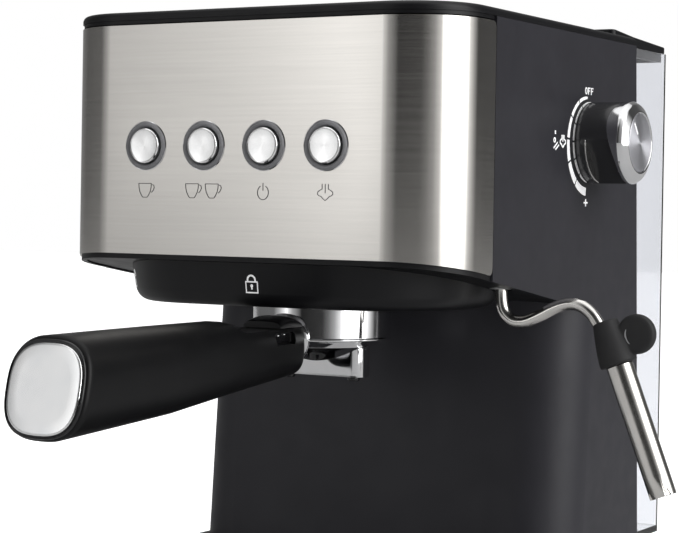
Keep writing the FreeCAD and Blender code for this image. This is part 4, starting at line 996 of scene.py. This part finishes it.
# azimuth from the front towards the right in degrees, and brightness there
SKY_BANDS = ((-180, 0.2), (-150, 0.32), (-95, 0.12), (-56, 0.14), (-44, 0.5), (-38, 0.84), (-33, 1.15),
             (-29, 1.6), (-26.5, 0.95), (-19, 0.42), (-10, 0.2), (-3, 0.02), (32, 0.04), (42, 0.17),
             (52, 0.42), (62, 1.0), (70, 4.0), (104, 4.0), (112, 1.2), (121, 0.5), (129, 0.06), (160, 0.08))


def studio_sky():
    """World light in soft upright bands, as tall soft boxes and flags give, under a pale ceiling."""
    world = bpy.data.worlds.new("studio")
    world.use_nodes = True
    scene.world = world
    nodes, links = world.node_tree.nodes, world.node_tree.links
    place = nodes.new("ShaderNodeTexCoord")
    axes = nodes.new("ShaderNodeSeparateXYZ")
    links.new(place.outputs["Generated"], axes.inputs[0])
    flip = nodes.new("ShaderNodeMath")
    flip.operation = "MULTIPLY"
    flip.inputs[1].default_value = -1
    links.new(axes.outputs["Y"], flip.inputs[0])
    angle = nodes.new("ShaderNodeMath")
    angle.operation = "ARCTAN2"
    links.new(axes.outputs["X"], angle.inputs[0])
    links.new(flip.outputs[0], angle.inputs[1])
    turn = nodes.new("ShaderNodeMapRange")
    turn.inputs["From Min"].default_value = -math.pi
    turn.inputs["From Max"].default_value = math.pi
    links.new(angle.outputs[0], turn.inputs["Value"])
    ramp = nodes.new("ShaderNodeValToRGB")
    stops = ramp.color_ramp.elements
    top = max(level for _, level in SKY_BANDS)
    for i, (azimuth, level) in enumerate(SKY_BANDS):
        stop = stops[i] if i < 1 else stops.new((azimuth + 180) / 360)
        stop.position = (azimuth + 180) / 360
        stop.color = (level / top,) * 3 + (1,)
    stops[-1].color = (SKY_BANDS[0][1] / top,) * 3 + (1,)
    links.new(turn.outputs["Result"], ramp.inputs["Fac"])
    height = nodes.new("ShaderNodeMapRange")
    height.interpolation_type = "SMOOTHSTEP"
    height.inputs["From Min"].default_value = 0.62
    height.inputs["From Max"].default_value = 0.95
    links.new(axes.outputs["Z"], height.inputs["Value"])
    ceiling = nodes.new("ShaderNodeMixRGB")
    ceiling.inputs["Color2"].default_value = (0.7 / top,) * 3 + (1,)
    links.new(height.outputs["Result"], ceiling.inputs["Fac"])
    links.new(ramp.outputs["Color"], ceiling.inputs["Color1"])
    light = nodes["Background"]
    light.inputs["Strength"].default_value = top
    links.new(ceiling.outputs["Color"], light.inputs["Color"])
    seen = nodes.new("ShaderNodeBackground")
    seen.inputs["Color"].default_value = (1, 1, 1, 1)
    path = nodes.new("ShaderNodeLightPath")
    either = nodes.new("ShaderNodeMath")
    either.operation = "MAXIMUM"
    links.new(path.outputs["Is Camera Ray"], either.inputs[0])
    links.new(path.outputs["Is Transmission Ray"], either.inputs[1])
    mix = nodes.new("ShaderNodeMixShader")
    links.new(either.outputs[0], mix.inputs["Fac"])
    links.new(light.outputs[0], mix.inputs[1])
    links.new(seen.outputs[0], mix.inputs[2])
    links.new(mix.outputs[0], nodes["World Output"].inputs["Surface"])


studio_sky()
lamp = bpy.data.lights.new("overhead", "AREA")
lamp.shape = "RECTANGLE"
lamp.size = lamp.size_y = 2.2
lamp.energy = 8
overhead = bpy.data.objects.new("overhead", lamp)
scene.collection.objects.link(overhead)
overhead.location = (0, 0.3, 1.9)
overhead.rotation_euler = (Vector((0, 0, 0.1)) - overhead.location).to_track_quat("-Z", "Y").to_euler()

# camera: fitted to the object's own measures
CAMERA_PLACE = Vector((0.456232, -0.805394, 0.210258))
CAMERA_YAW, CAMERA_PITCH, CAMERA_ROLL = 0.5351, -0.01005, 0.01663
VIEW_WIDTH, VIEW_MIDDLE, HORIZON_ROW, FOCAL_PIXELS = 679, 266.5, 230, 1950.46
SENSOR = 36.0
camera_data = bpy.data.cameras.new("camera")
camera_data.sensor_width = SENSOR
camera_data.lens = SENSOR * (FOCAL_PIXELS / VIEW_WIDTH)
camera_data.shift_y = -(VIEW_MIDDLE - HORIZON_ROW) / VIEW_WIDTH
camera = bpy.data.objects.new("camera", camera_data)
scene.collection.objects.link(camera)
scene.camera = camera
forward = Vector((-math.sin(CAMERA_YAW) * math.cos(CAMERA_PITCH),
                  math.cos(CAMERA_YAW) * math.cos(CAMERA_PITCH), math.sin(CAMERA_PITCH)))
right = Vector((math.cos(CAMERA_YAW), math.sin(CAMERA_YAW), 0))
above = right.cross(forward)
turned_right = right * math.cos(CAMERA_ROLL) + above * math.sin(CAMERA_ROLL)
turned_above = above * math.cos(CAMERA_ROLL) - right * math.sin(CAMERA_ROLL)
camera.matrix_world = Matrix((
    (turned_right.x, turned_above.x, -forward.x, CAMERA_PLACE.x),
    (turned_right.y, turned_above.y, -forward.y, CAMERA_PLACE.y),
    (turned_right.z, turned_above.z, -forward.z, CAMERA_PLACE.z),
    (0, 0, 0, 1)))
camera_data.clip_start = 0.01
scene.view_settings.view_transform = "Standard"
